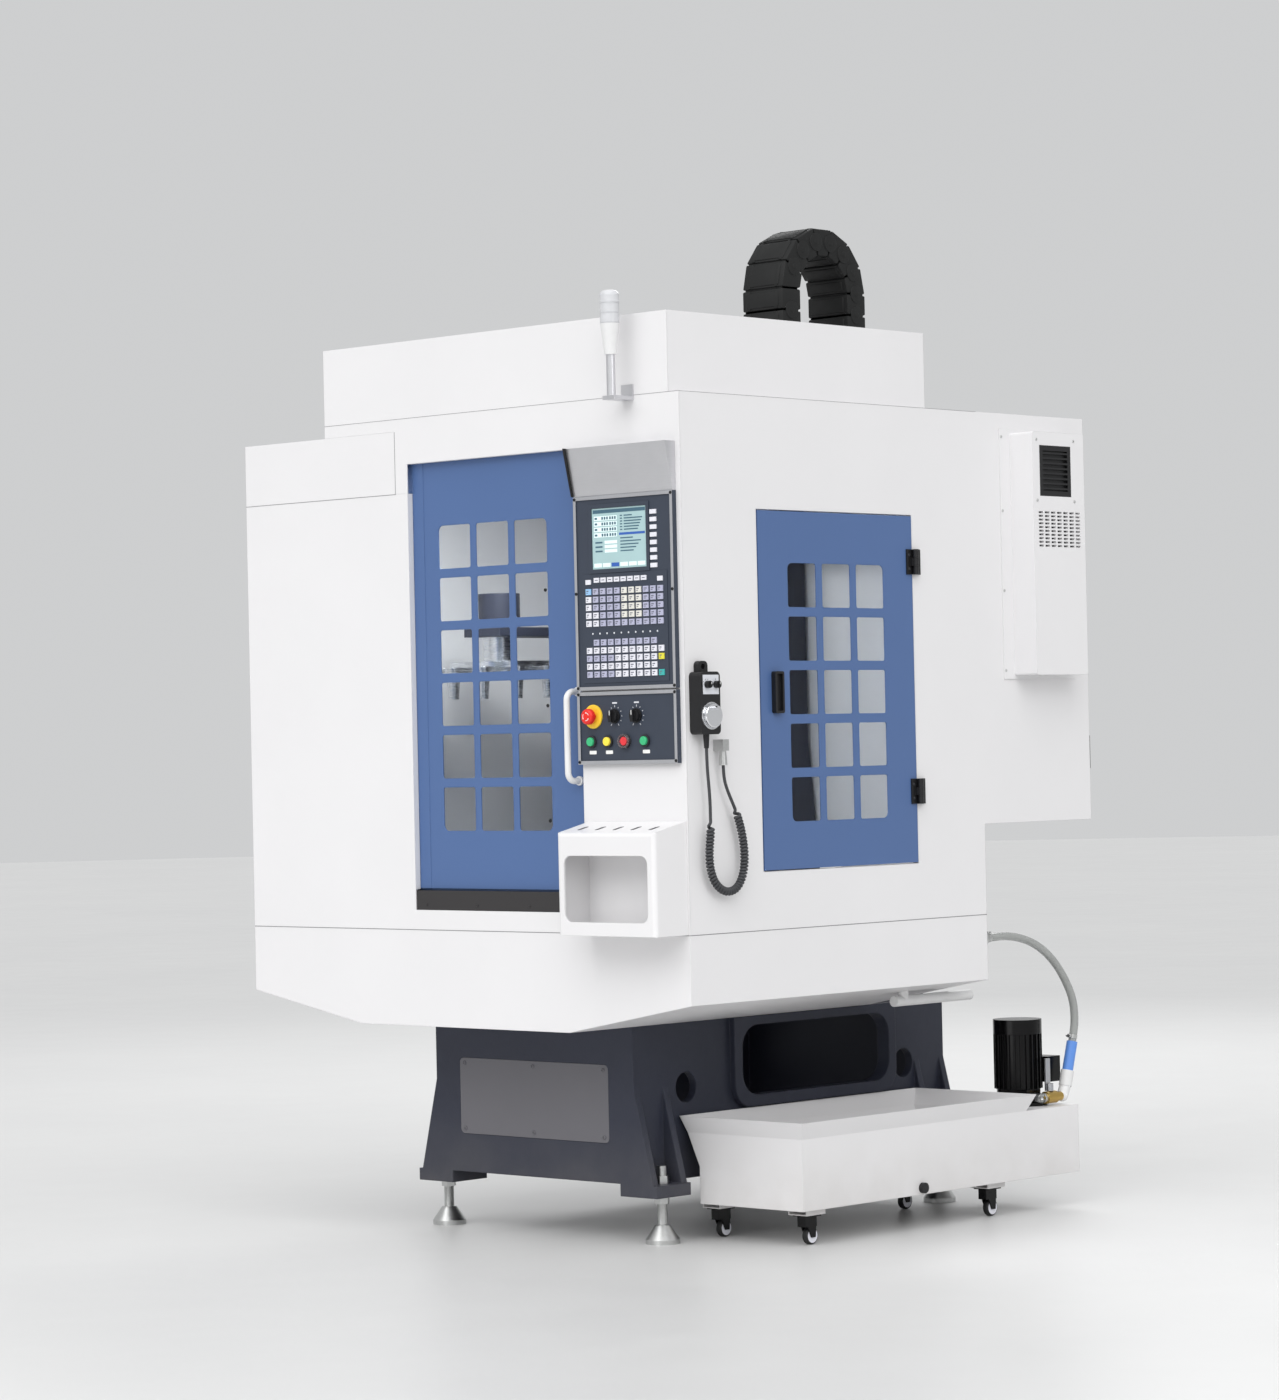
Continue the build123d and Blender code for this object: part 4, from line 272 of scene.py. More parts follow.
moulded("plastic_chain", (17, 18, 18), 0.6, 0.35, 420.0, edge_radius=0.002)
moulded("plastic_white", (222, 222, 222), 0.32)
moulded("ring_grey", (186, 187, 190), 0.4)
moulded("plastic_red", (222, 44, 36), 0.28, 0.08)
# Green plastic for the buttons and the terminal blocks, with a painted glow on top of its colour.
moulded("plastic_green", (58, 172, 116), 0.25, 0.06, glow=0.15)
moulded("plastic_yellow", (246, 206, 60), 0.3, 0.06)
moulded("lens_yellow", (240, 216, 74), 0.25, 0.06, glow=0.12)
moulded("lens_red", (214, 56, 62), 0.25, 0.06, glow=0.12)
moulded("lens_white", (226, 227, 230), 0.22, 0.05, see_through=0.3)
moulded("guard_clear", (240, 226, 228), 0.12, 0.04, see_through=0.88)
moulded("plastic_blue", (96, 142, 216), 0.3, 0.08)
moulded("rubber", (30, 30, 31), 0.55, 0.3, 700.0)
moulded("cord_grey", (60, 61, 64), 0.42, 0.3, 700.0)
moulded("hose_clear", (176, 178, 176), 0.22, 0.1, 300.0, see_through=0.35)
moulded("screen_base", (150, 176, 178), 0.16, 0.02, glow=0.35)
moulded("screen_dark", (66, 96, 112), 0.2, 0.02, glow=0.2)
moulded("screen_blue", (52, 88, 160), 0.2, 0.02, glow=0.3)
moulded("screen_pale", (206, 222, 222), 0.2, 0.02, glow=0.4)
KEY_COLORS = {
    "key_lilac": (176, 177, 200), "key_pale": (224, 224, 232), "key_cream": (222, 220, 212),
    "key_sky": (148, 190, 230), "key_yellow": (224, 216, 66), "key_teal": (64, 170, 166),
}
for name, color in KEY_COLORS.items():
    moulded(name, color, 0.45, 0.12)
moulded("label_white", (236, 236, 234), 0.5, 0.05)
moulded("mark_white", (214, 216, 222), 0.55, 0.05)
moulded("mark_grey", (104, 106, 118), 0.6, 0.05)
# Grey painted shade for the seams between panels and for the walls of the tool holes.
moulded("gap_shade", (132, 132, 134), 0.7, 0.05)
# Near-black painted shade for the bottoms of the cooler's slots.
moulded("shadow_dark", (30, 30, 32), 0.8, 0.05)


# Cords

CORD_ROUTE = (
    (792, -710, 1279), (792, -710, 1237), (793, -706, 1193), (793, -702, 1149), (793, -702, 1106),
    (793, -702, 1068), (793, -709, 1026), (793, -708, 982), (793, -690, 942),
    (793, -652, 920), (793, -612, 926), (793, -586, 958), (793, -578, 1002), (793, -582, 1046),
    (793, -594, 1090), (793, -612, 1130), (793, -634, 1166), (792, -650, 1202), (792, -650, 1236),
)
HOSE_ROUTE = (
    (742, 434, 752), (741, 490, 755), (739, 545, 753), (736, 602, 744), (732, 658, 728),
    (728, 712, 703), (723, 762, 670), (718, 806, 629), (714, 842, 582), (711, 858, 548),
    (708, 865, 514), (705, 866, 480), (703, 858, 446),
)
CORD_RADIUS = 4
COIL_RADIUS = 7
COIL_PITCH = 8.6
# Plain lead at the pendant and at the gland, and the drawn-out turns at both ends of the curls.
COIL_START = 176
COIL_END_LEAD = 112
COIL_EASE = 26
COIL_EASE_PITCH = 60
TURN_POINTS = 12
LEAD_POINTS = 6
HOSE_RADIUS = 11


def nurbs(name, points, bevel, fine, material=None):
    """A smooth curve with these control points, as a round tube in the scene where it has a material."""
    curve = bpy.data.curves.new(name, "CURVE")
    curve.dimensions = "3D"
    spline = curve.splines.new("NURBS")
    spline.points.add(len(points) - 1)
    for control, place in zip(spline.points, points):
        control.co = (place[0] * MM, place[1] * MM, place[2] * MM, 1)
    spline.order_u = 3
    spline.use_endpoint_u = True
    spline.resolution_u = fine
    curve.bevel_depth = bevel * MM
    curve.bevel_resolution = 4
    if not material:
        return bpy.data.objects.new(name, curve)
    curve.materials.append(MATERIALS[material])
    return put(name, curve)


def line_of(points):
    """Points along the route's smooth line, in millimetres."""
    bare = nurbs("bare_route", points, 0, 16)
    mesh = bpy.data.meshes.new_from_object(bare)
    line = [vertex.co / MM for vertex in mesh.vertices]
    bpy.data.meshes.remove(mesh)
    bpy.data.curves.remove(bare.data)
    return line


def line_length(line):
    """Length of a line of points."""
    return sum((second - first).length for first, second in zip(line, line[1:]))


def at_length(line, length):
    """Point and direction at a length along a line."""
    left = length
    for first, second in zip(line, line[1:]):
        step = (second - first).length
        if left <= step:
            return first.lerp(second, left / step), (second - first).normalized()
        left -= step
    return line[-1].copy(), (line[-1] - line[-2]).normalized()


def curly_points(route):
    """Control points of the pendant's cord: a lead, curls with drawn-out ends, a lead to the gland."""
    line = line_of(route)
    coil_end = line_length(line) - COIL_END_LEAD
    points = [at_length(line, share * COIL_START / LEAD_POINTS)[0] for share in range(LEAD_POINTS)]
    side = Vector((1, 0, 0))
    length, angle = COIL_START, 0.0
    while length < coil_end:
        place, ahead = at_length(line, length)
        side = (side - ahead * side.dot(ahead)).normalized()
        across = ahead.cross(side)
        share = min(1.0, (length - COIL_START) / COIL_EASE, (coil_end - length) / COIL_EASE)
        reach = COIL_RADIUS * share * share * (3 - 2 * share)
        points.append(place + reach * (side * math.cos(angle) + across * math.sin(angle)))
        length += (COIL_PITCH + (COIL_EASE_PITCH - COIL_PITCH) * (1 - share)) / TURN_POINTS
        angle += 2 * math.pi / TURN_POINTS
    for share in range(LEAD_POINTS + 1):
        points.append(at_length(line, coil_end + share * COIL_END_LEAD / LEAD_POINTS)[0])
    return points


pendant_lead = nurbs("pendant_lead", curly_points(CORD_ROUTE), CORD_RADIUS, 2, "cord_grey")
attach(pendant_lead, ROOT)
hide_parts("pendant_cord", "pendant_coil")

supply_hose = nurbs("supply_hose", HOSE_ROUTE, HOSE_RADIUS, 12, "hose_clear")
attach(supply_hose, ROOT)
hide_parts("coolant_hose")


# Mesh building

# Least angle between two faces, in radians, for their edge to be rounded.
SHARP_EDGE = 0.7


class Shape:
    """Gathers small solids, given in millimetres, into one piece."""

    def __init__(self):
        self.mesh = bmesh.new()

    def place(self, made, matrix, rounding):
        verts = made["verts"]
        bmesh.ops.transform(self.mesh, matrix=matrix, verts=verts)
        if rounding:
            edges = list({edge for vert in verts for edge in vert.link_edges})
            sharp = [edge for edge in edges if edge.calc_face_angle(0.0) > SHARP_EDGE]
            bmesh.ops.bevel(
                self.mesh, geom=sharp, offset=rounding, segments=2,
                profile=0.5, affect="EDGES", clamp_overlap=True,
            )

    def box(self, x, y, z, rounding=0.0, turn=None):
        size = Matrix.Diagonal((x[1] - x[0], y[1] - y[0], z[1] - z[0], 1))
        middle = Matrix.Translation(((x[0] + x[1]) / 2, (y[0] + y[1]) / 2, (z[0] + z[1]) / 2))
        made = bmesh.ops.create_cube(self.mesh, size=1)
        self.place(made, (turn or Matrix()) @ middle @ size, rounding)

    def rod(self, start, end, radius, sides=24, rounding=0.0, turn=None):
        start, end = Vector(start), Vector(end)
        run = end - start
        made = bmesh.ops.create_cone(
            self.mesh, cap_ends=True, segments=sides, radius1=radius,
            radius2=radius, depth=run.length,
        )
        lie = run.to_track_quat("Z", "Y").to_matrix().to_4x4()
        self.place(made, (turn or Matrix()) @ Matrix.Translation((start + end) / 2) @ lie, rounding)

    def lathe(self, profile, turn, sides):
        """A profile of (radius, height) points turned about the local Z axis."""
        rings = []
        for radius, height in profile:
            angles = [2 * math.pi * side / sides for side in range(sides)]
            spots = [turn @ Vector((radius * math.cos(a), radius * math.sin(a), height)) for a in angles]
            rings.append([self.mesh.verts.new(spot) for spot in spots])
        for lower, upper in zip(rings, rings[1:]):
            for side in range(sides):
                after = (side + 1) % sides
                self.mesh.faces.new((lower[side], lower[after], upper[after], upper[side]))
        self.mesh.faces.new(list(reversed(rings[0])))
        self.mesh.faces.new(rings[-1])

    def flat(self, outline, turn, thickness):
        """A thin plate with this outline, raised along the local Z axis."""
        low = [self.mesh.verts.new(turn @ Vector((x, y, 0))) for x, y in outline]
        high = [self.mesh.verts.new(turn @ Vector((x, y, thickness))) for x, y in outline]
        self.mesh.faces.new(list(reversed(low)))
        self.mesh.faces.new(high)
        for index in range(len(outline)):
            after = (index + 1) % len(outline)
            self.mesh.faces.new((low[index], low[after], high[after], high[index]))

    def done(self, name, material, slot, body=ROOT, smooth=40):
        bmesh.ops.transform(self.mesh, matrix=Matrix.Scale(MM, 4), verts=self.mesh.verts)
        bmesh.ops.recalc_face_normals(self.mesh, faces=self.mesh.faces)
        data = bpy.data.meshes.new(name)
        self.mesh.to_mesh(data)
        self.mesh.free()
        data.shade_smooth()
        data.set_sharp_from_angle(angle=math.radians(smooth))
        data.materials.append(MATERIALS[material])
        made = put(name, data)
        if body:
            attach(made, body)
        return made


def turned(degrees, axis="Z"):
    """Matrix of a turn about an axis."""
    return Matrix.Rotation(math.radians(degrees), 4, axis)


# Local Z of a piece that faces the front, a side, the back or up.
FACE_FRONT = turned(90, "X")
FACE_RIGHT = turned(90) @ FACE_FRONT
FACE_BACK = turned(180) @ FACE_FRONT
FACE_LEFT = turned(180) @ FACE_RIGHT
FACE_UP = Matrix()


def facing(place, face):
    """Matrix that puts a local origin at a place, facing a side of the machine."""
    return Matrix.Translation(place) @ face


def about(middle, half):
    """Range that reaches this far to each side of a middle."""
    return (middle - half, middle + half)


def narrowed(ends, amount):
    """Range drawn in by the same amount at each end."""
    return (ends[0] + amount, ends[1] - amount)


def beyond(start, low, high):
    """Range that lies this far beyond a start."""
    return (start + low, start + high)


def grid(xs, ys, zs):
    """Every combination of these coordinates, as places."""
    return [(x, y, z) for x in xs for y in ys for z in zs]


def polar(radius, angles):
    """Points on a circle at these angles in degrees."""
    turns = [math.radians(angle) for angle in angles]
    return [(radius * math.cos(turn), radius * math.sin(turn)) for turn in turns]


def rounded_outline(width, height, corner, steps=5):
    """Outline of a rectangle with round corners, about its middle."""
    outline = []
    for turn, (across, up) in enumerate(((1, 1), (-1, 1), (-1, -1), (1, -1))):
        for step in range(steps + 1):
            angle = math.radians(90 * turn + 90 * step / steps)
            outline.append((
                across * (width / 2 - corner) + corner * math.cos(angle),
                up * (height / 2 - corner) + corner * math.sin(angle),
            ))
    return outline


def finish_node(name, *materials, pick=None):
    """Give a CAD node its materials; where it has several, pick chooses one for each face."""
    mesh = nodes[name].data
    mesh.materials.clear()
    for material in materials:
        mesh.materials.append(MATERIALS[material])
    for face in mesh.polygons:
        chosen = pick(face.center / MM, face.normal) if pick else materials[0]
        face.material_index = materials.index(chosen)


# Finish of the CAD nodes that have one material

PLAIN_FINISHES = (
    ("paint_white", (
        "chip_pan", "front_panel", "left_front_panel", "left_top_cover", "left_side_panel",
        "right_side_panel", "roof_housing", "cabinet_door",
    )),
    ("paint_blue", ("main_door_panel", "side_door_panel")),
    ("glass_clear", ("main_door_window", "side_door_window")),
    ("cast_slate", ("base_casting", "column", "spindle_head", "saddle")),
    ("steel_ground", ("guide_rails", "table", "valve_lever")),
    ("steel_turned", ("spindle", "tool_drum")),
    ("steel_brushed", ("panel_hood",)),
    ("plastic_black", (
        "feed_knob", "spindle_knob", "pendant_axis_knob", "pendant_step_knob", "side_door_hardware",
        "hinge_leaves",
    )),
    ("plastic_white", ("drain_pipe", "main_door_handle")),
    ("plastic_green", ("cycle_start_button", "power_on_button")),
    ("plastic_red", ("emergency_stop",)),
    ("lens_yellow", ("feed_hold_button",)),
    ("lens_red", ("power_off_button",)),
    ("paint_cover", ("base_front_plate",)),
    ("paint_track", ("door_track",)),
    ("paint_black", ("caster_forks", "coolant_pump")),
    ("zinc", ("levelling_feet",)),
    ("chrome", ("pendant_wheel",)),
    ("screen_base", ("display_screen",)),
)
for material, names in PLAIN_FINISHES:
    for name in names:
        finish_node(name, material)


# Faces of the CAD nodes that have several materials

INF = math.inf
ANY = (-INF, INF)
# Least share of a normal along X to face that way.
FACING = 0.9
CASTER_AXLES_Y, AXLE_Z, HUB_RADIUS = (-245, 496, -245, 496), 23, 15
DRIVES = (607, 477, 347, 217)
DRIVE_FRONT = 599
MOUNT_FACE = 419
PENDANT_FACE, DIAL_PLACE = (810.2, INF), (-710, 1359)

# Each node's materials with their zones; the first zone that holds a face counts. A zone has ranges of
# the face's place and of its normal, and a disc about an axis along X.
ZONED_FINISHES = {
    # Grey drive units and a galvanised mounting plate in a painted shell.
    "electrical_cabinet": (
        ("drive_grey", {"x": (150, 660), "y": (MOUNT_FACE + 0.5, DRIVE_FRONT + 1), "z": (1419, 1781)}),
        ("zinc", {"x": (-490, 736), "y": (MOUNT_FACE - 7, MOUNT_FACE + 0.5), "z": (1091, 2132)}),
        ("paint_white", {}),
    ),
    # Black filter guard, and slot bottoms in painted shade.
    "cabinet_cooler": (
        ("plastic_black", {"x": (840, INF), "y": (579, 718), "z": (1937, 2076)}),
        ("shadow_dark", {"x": (830, 845), "y": (580, 745), "z": (1750, INF), "way_x": (FACING, INF)}),
        ("paint_white", {}),
    ),
    # Walls of the tool holes in shade.
    "tool_tray": (
        ("gap_shade", {"x": (440, 755), "y": (-847, -809), "z": (1041, INF), "way_z": (-0.5, 0.5)}),
        ("paint_white", {}),
    ),
    # Black drain plug.
    "coolant_tank": (
        ("plastic_black", {"x": (740.4, INF), "disc": ((150, 111), 14.5)}), ("paint_white", {}),
    ),
    # Lens on a white holder, on a steel pole and bracket.
    "signal_lamp": (
        ("lens_white", {"z": (2341, INF)}), ("plastic_white", {"z": (2262, INF)}), ("steel_brushed", {}),
    ),
    # Metal dial flange, pale plate for the selector knobs, plated gland and black case.
    "pendant_body": (
        ("chrome", {"x": PENDANT_FACE, "disc": (DIAL_PLACE, 34.5)}), ("mark_white", {"x": PENDANT_FACE}),
        ("zinc", {"y": (-662, INF)}), ("plastic_black", {}),
    ),
    # Plated outlet, blue coupling, white elbow and hose end, brass valve and plated pipe.
    "pump_fittings": (
        ("zinc", {"y": (-INF, 500)}), ("plastic_blue", {"z": (372, INF)}),
        ("plastic_white", {"y": (795, INF)}), ("brass", {"y": (734, INF)}), ("zinc", {}),
    ),
}
# Pale hubs in rubber tyres.
for number, y in enumerate(CASTER_AXLES_Y, 1):
    hub = ((y, AXLE_Z), HUB_RADIUS)
    ZONED_FINISHES[f"caster_wheel_{number}"] = (
        ("key_pale", {"disc": hub, "way_x": (FACING, INF)}),
        ("key_pale", {"disc": hub, "way_x": (-INF, -FACING)}),
        ("rubber", {}),
    )


def near_axis(first, second, middle, radius):
    """Whether two coordinates lie within a radius of a middle."""
    return math.hypot(first - middle[0], second - middle[1]) <= radius


def inside(at, way, x=ANY, y=ANY, z=ANY, way_x=ANY, way_z=ANY, disc=None):
    """Whether a face with this place and normal lies in a zone."""
    pairs = zip((*at, way.x, way.z), (x, y, z, way_x, way_z))
    held = all(low < value < high for value, (low, high) in pairs)
    return held and (disc is None or near_axis(at.y, at.z, *disc))


def by_zone(zones):
    """Pick of the first material whose zone holds a face."""
    return lambda at, way: next(material for material, zone in zones if inside(at, way, **zone))


for name, zones in ZONED_FINISHES.items():
    finish_node(name, *dict.fromkeys(material for material, _ in zones), pick=by_zone(zones))


# Control panel faces

PANEL_FACE = -772
PANEL_X, CONTROL_Z, OPERATOR_Z = (413, 754), (1430, 1918), (1244, 1427)
RIM_WIDTH = 9
# Limits in Y that tell the plate from what is raised on it, and the keys from their membrane.
RAISED, RIM_RAISED, GUARD_RAISED = PANEL_FACE - 0.2, PANEL_FACE - 2.9, PANEL_FACE - 5.9
KEYS_RAISED = PANEL_FACE - 1.6
SIDE_KEYS = {"x": (675, 699), "y": (-INF, RAISED), "z": (1729, INF)}
COLLARS = {"x": (430, 680), "y": (-INF, RAISED), "z": (-INF, 1330)}
BUTTON_Z, KNOB_Z = 1301, 1364
GUARD_PLACE, GUARD_RADIUS = (578, BUTTON_Z), 18.5
STOP_X = 468
STOP_RING_RADIUS = 31

KEYS_LEFT, KEYS_BOTTOM = 452, 1448
KEY_PITCH_X, KEY_PITCH_Z = 24.7, 20
KEY_ROWS, KEY_COLUMNS = 5, 11
KEY_TOP = PANEL_FACE - 4
BLOCK_BOTTOMS = (14, 142)
SOFT_ROW_BOTTOM = 246
NUMBER_COLUMNS, NUMBER_ROWS = (5, 6, 7), 4
# Row, counted from below, and column of the places without a key in the lower block.
KEYS_LEFT_OUT = ((4, 0), (4, 10), (1, 10))
SOFT_KEYS_LEFT, SOFT_KEYS_BOTTOM, SOFT_KEY_PITCH, SOFT_KEYS = 481, 1700, 23.2, 8


def on_rim(at, way, plate_z):
    """Whether a face lies on the raised rim of a panel plate of this height range."""
    field = {"x": narrowed(PANEL_X, RIM_WIDTH), "z": narrowed(plate_z, RIM_WIDTH)}
    return at.y < RIM_RAISED and not inside(at, way, **field)


def plate_face(at, way):
    """Raised rim in metal, side keys pale, the plate grey."""
    if on_rim(at, way, CONTROL_Z):
        return "panel_rim"
    return "key_pale" if inside(at, way, **SIDE_KEYS) else "panel_grey"


def operator_face(at, way):
    """Rim in metal, the stop button's ring yellow, collars dark, guard clear."""
    if at.y < GUARD_RAISED and near_axis(at.x, at.z, GUARD_PLACE, GUARD_RADIUS):
        return "guard_clear"
    if on_rim(at, way, OPERATOR_Z):
        return "panel_rim"
    if at.y < RAISED and near_axis(at.x, at.z, (STOP_X, KNOB_Z), STOP_RING_RADIUS):
        return "plastic_yellow"
    return "plastic_dark" if inside(at, way, **COLLARS) else "panel_grey"


def key_face(at, way):
    """Colour of each key by its block, row from above and column, with the membrane grey."""
    if at.y > KEYS_RAISED:
        return "panel_grey"
    height = at.z - KEYS_BOTTOM
    if height > SOFT_ROW_BOTTOM:
        return "key_pale"
    column = int((at.x - KEYS_LEFT + 2) // KEY_PITCH_X)
    upper = int(height >= BLOCK_BOTTOMS[1])
    row = KEY_ROWS - 1 - int((height - BLOCK_BOTTOMS[upper] + 1) // KEY_PITCH_Z)
    if upper:
        if column in NUMBER_COLUMNS and row < NUMBER_ROWS:
            return "key_cream"
        if (row, column) == (0, 0):
            return "key_sky"
        return "key_pale" if column < 1 + (row > 2) else "key_lilac"
    if column == KEY_COLUMNS - 1 and row in (2, 4):
        return "key_yellow" if row == 2 else "key_teal"
    return "key_lilac" if row == 0 or (row in (2, 4) and column < 4) else "key_pale"


finish_node("control_panel", "panel_grey", "panel_rim", "key_pale", pick=plate_face)
finish_node(
    "operator_panel", "panel_grey", "panel_rim", "plastic_yellow", "plastic_dark", "guard_clear",
    pick=operator_face,
)
finish_node(
    "keypad", "panel_grey", "key_lilac", "key_pale", "key_cream", "key_sky", "key_yellow", "key_teal",
    pick=key_face,
)


# Cable chain

CHAIN_X = (218, 362)
CHAIN_MIDDLE_Y, CHAIN_TURN_Z = 275, 2515
CHAIN_RADIUS, CHAIN_HALF = 135, 37.5
# Side of the arch, height of the foot and number of links of each leg.
CHAIN_LEGS = ((-1, 1980, 9), (1, 2163, 6))
CHAIN_ARC_LINKS = 7
CHAIN_GAP = 2.2
CORE_INSET = 6
LID_EDGE, LID_INSET, LID_SINK, LID_RISE = 15, 9, 1, 2.5
RIB_EDGE, RIB_INSET, RIB_HALF, RIB_RISE = 24, 4, 5, 2
LINK_ROUNDING, LID_ROUNDING, RIB_ROUNDING = 4.0, 2.0, 1.0
PIVOT_RADIUS, PIVOT_RISE = 25, 2
PIN_RADIUS, PIN_RISE = 8, 2.9


def hexahedron(shape, corners, rounding):
    """A six-sided block from its lower and upper four corners, with rounded edges."""
    verts = [shape.mesh.verts.new(corner) for corner in corners]
    rings = ((3, 2, 1, 0), (4, 5, 6, 7), (0, 1, 5, 4), (1, 2, 6, 5), (2, 3, 7, 6), (3, 0, 4, 7))
    for ring in rings:
        shape.mesh.faces.new([verts[index] for index in ring])
    shape.place({"verts": verts}, Matrix(), rounding)


def chain_slab(shape, ends, x, out, rounding):
    """Part of a link between two path ends, an X range and a range outwards from the path."""
    corners = []
    for reach in out:
        for place, outward in ends:
            spot = place + outward * reach
            corners.append([Vector((x[0], spot.y, spot.z)), Vector((x[1], spot.y, spot.z))])
    low = [corners[0][0], corners[0][1], corners[1][1], corners[1][0]]
    high = [corners[2][0], corners[2][1], corners[3][1], corners[3][0]]
    hexahedron(shape, low + high, rounding)


def chain_ends():
    """Start and end of every link along the chain, each as a place and its outward direction."""
    links = []
    for side, foot, count in CHAIN_LEGS:
        y = CHAIN_MIDDLE_Y + side * CHAIN_RADIUS
        outward = Vector((0, side, 0))
        step = (CHAIN_TURN_Z - foot) / count
        for link in range(count):
            low = Vector((0, y, foot + link * step))
            links.append(((low, outward), (low + Vector((0, 0, step)), outward)))
    middle = Vector((0, CHAIN_MIDDLE_Y, CHAIN_TURN_Z))
    for link in range(CHAIN_ARC_LINKS):
        ends = []
        for index in (link, link + 1):
            angle = math.pi * index / CHAIN_ARC_LINKS
            outward = Vector((0, math.cos(angle), math.sin(angle)))
            ends.append((middle + outward * CHAIN_RADIUS, outward))
        links.append(tuple(ends))
    return links


def inset(ends, amount):
    """Link ends drawn together along the path by the same amount at each end."""
    (first, out_first), (second, out_second) = ends
    along = (second - first).normalized()
    return (first + along * amount, out_first), (second - along * amount, out_second)


def add_chain():
    """Closed-lid chain: shells with dark gaps between them, raised lids and side pivots."""
    shape = Shape()
    half = CHAIN_HALF
    through = (-half, half)
    lid_x = narrowed(CHAIN_X, LID_EDGE)
    for ends in chain_ends():
        chain_slab(shape, inset(ends, CHAIN_GAP), CHAIN_X, through, LINK_ROUNDING)
        core = narrowed(CHAIN_X, CORE_INSET), narrowed(through, CORE_INSET)
        chain_slab(shape, inset(ends, -CORE_INSET), *core, 0)
        lid_ends = inset(ends, LID_INSET)
        chain_slab(shape, lid_ends, lid_x, (half - LID_SINK, half + LID_RISE), LID_ROUNDING)
        chain_slab(shape, lid_ends, lid_x, (-half - LID_RISE, LID_SINK - half), LID_ROUNDING)
        for x in narrowed(CHAIN_X, RIB_EDGE):
            rib = about(x, RIB_HALF), (half - LID_SINK, half + RIB_RISE)
            chain_slab(shape, inset(ends, RIB_INSET), *rib, RIB_ROUNDING)
        start = ends[0][0]
        for x, way in zip(CHAIN_X, (-1, 1)):
            pivot, outward = Vector((x, start.y, start.z)), Vector((way, 0, 0))
            shape.rod(pivot - outward, pivot + outward * PIVOT_RISE, PIVOT_RADIUS, rounding=1.0)
            shape.rod(pivot, pivot + outward * PIN_RISE, PIN_RADIUS, sides=16, rounding=0.6)
    chain = shape.done("chain_links", "plastic_chain", "black_plastic", None, 30)
    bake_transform(chain)
    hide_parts("cable_chain")


add_chain()


# Seams and fasteners

FRONT_SKIN, RIGHT_SKIN, LEFT_SKIN = (-760.35, -759.8), (769.8, 770.35), (-850.3, -849.8)
SIDE_DEPTH = (-760, 410)
WAIST = (817.1, 818.9)
# X, Y and Z ranges of the shadow lines.
SEAMS = (
    ((-850, 770), FRONT_SKIN, WAIST),
    (RIGHT_SKIN, SIDE_DEPTH, WAIST),
    (LEFT_SKIN, SIDE_DEPTH, WAIST),
    ((-850, -254), FRONT_SKIN, (1964.3, 1965.7)),
    ((-254.8, -253.2), FRONT_SKIN, (1964, 2130)),
    (LEFT_SKIN, (-745, -743.4), (818, 2127)),
    ((-526, 770), FRONT_SKIN, (2162.4, 2163.4)),
    (RIGHT_SKIN, SIDE_DEPTH, (2162.2, 2163)),
)
PLATE_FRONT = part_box("base_front_plate")[0][1] / MM
GLASS_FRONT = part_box("main_door_window")[0][1] / MM
HINGE_FACE, FIXED_LEAF_Y, SWUNG_LEAF_Y = 776, 147, 110
HINGE_SCREWS_Z = [bottom + rise for bottom in (1121, 1722) for rise in (15, 51)]
ROOF_TOP, LEFT_FACE, CABINET_BACK = 2366, -850, 880
# Facing, head radius, material, slot, body and places of each set of screws.
SCREWS = {
    "panel_screws": (
        FACE_FRONT, 4.2, "plastic_black", "black_plastic", ROOT,
        grid((418, 749), (PANEL_FACE - 3,), (1912, 1674, 1436, 1420, 1250)),
    ),
    "plate_screws": (
        FACE_FRONT, 6.0, "paint_cover", "cover_paint", ROOT,
        grid((-298, -40, 218), (PLATE_FRONT,), (272, 447)),
    ),
    "cooler_screws": (
        FACE_RIGHT, 4.0, "zinc", "steel", ROOT,
        grid((773,), (513, 813), (1470, 1685, 1900, 2100)) + grid((850,), (567, 730), (1926, 2090)),
    ),
    "hinge_screws": (
        FACE_RIGHT, 4.0, "plastic_dark", "black_plastic", ROOT,
        grid((HINGE_FACE,), (FIXED_LEAF_Y,), HINGE_SCREWS_Z),
    ),
    "door_hinge_screws": (
        FACE_RIGHT, 4.0, "plastic_dark", "black_plastic", "side_door",
        grid((HINGE_FACE,), (SWUNG_LEAF_Y,), HINGE_SCREWS_Z),
    ),
    "track_screws": (
        FACE_FRONT, 4.0, "paint_track", "black_paint", ROOT, grid((-170, 20, 210, 380), (-757,), (884,)),
    ),
    "cabinet_screws": (
        FACE_BACK, 5.0, "zinc", "steel", ROOT,
        grid((-508, 105), (CABINET_BACK,), (1080, 1440, 1790, 2142))
        + grid((-200,), (CABINET_BACK,), (1080, 2142)),
    ),
    "window_fixings": (
        FACE_FRONT, 5.0, "plastic_black", "black_plastic", "main_door",
        grid((272,), (GLASS_FRONT,), (1102, 1396, 1692)),
    ),
    "roof_screws": (
        FACE_UP, 5.0, "zinc", "steel", ROOT,
        grid((-505, -190, 120, 430, 713), (-738, 218), (ROOF_TOP,))
        + grid((-505, 713), (-420, -100), (ROOF_TOP,)),
    ),
    "left_screws": (
        FACE_LEFT, 5.0, "zinc", "steel", ROOT,
        grid((LEFT_FACE,), (-700, -350, 0, 350), (846, 2098))
        + grid((LEFT_FACE,), (-700, 350), (1260, 1680)),
    ),
}
PUMP_X, PUMP_Y, PUMP_FLANGE_TOP = 605, 740, 287
PUMP_BOLT_CIRCLE, PUMP_BOLT_ANGLES, PUMP_BOLT_SIZE = 72, (25, 115, 205, 295), 11


def add_seams():
    """Narrow shadow lines where the sheet-metal panels meet."""
    shape = Shape()
    for seam in SEAMS:
        shape.box(*seam)
    shape.done("panel_seams", "gap_shade", "white_sheet")


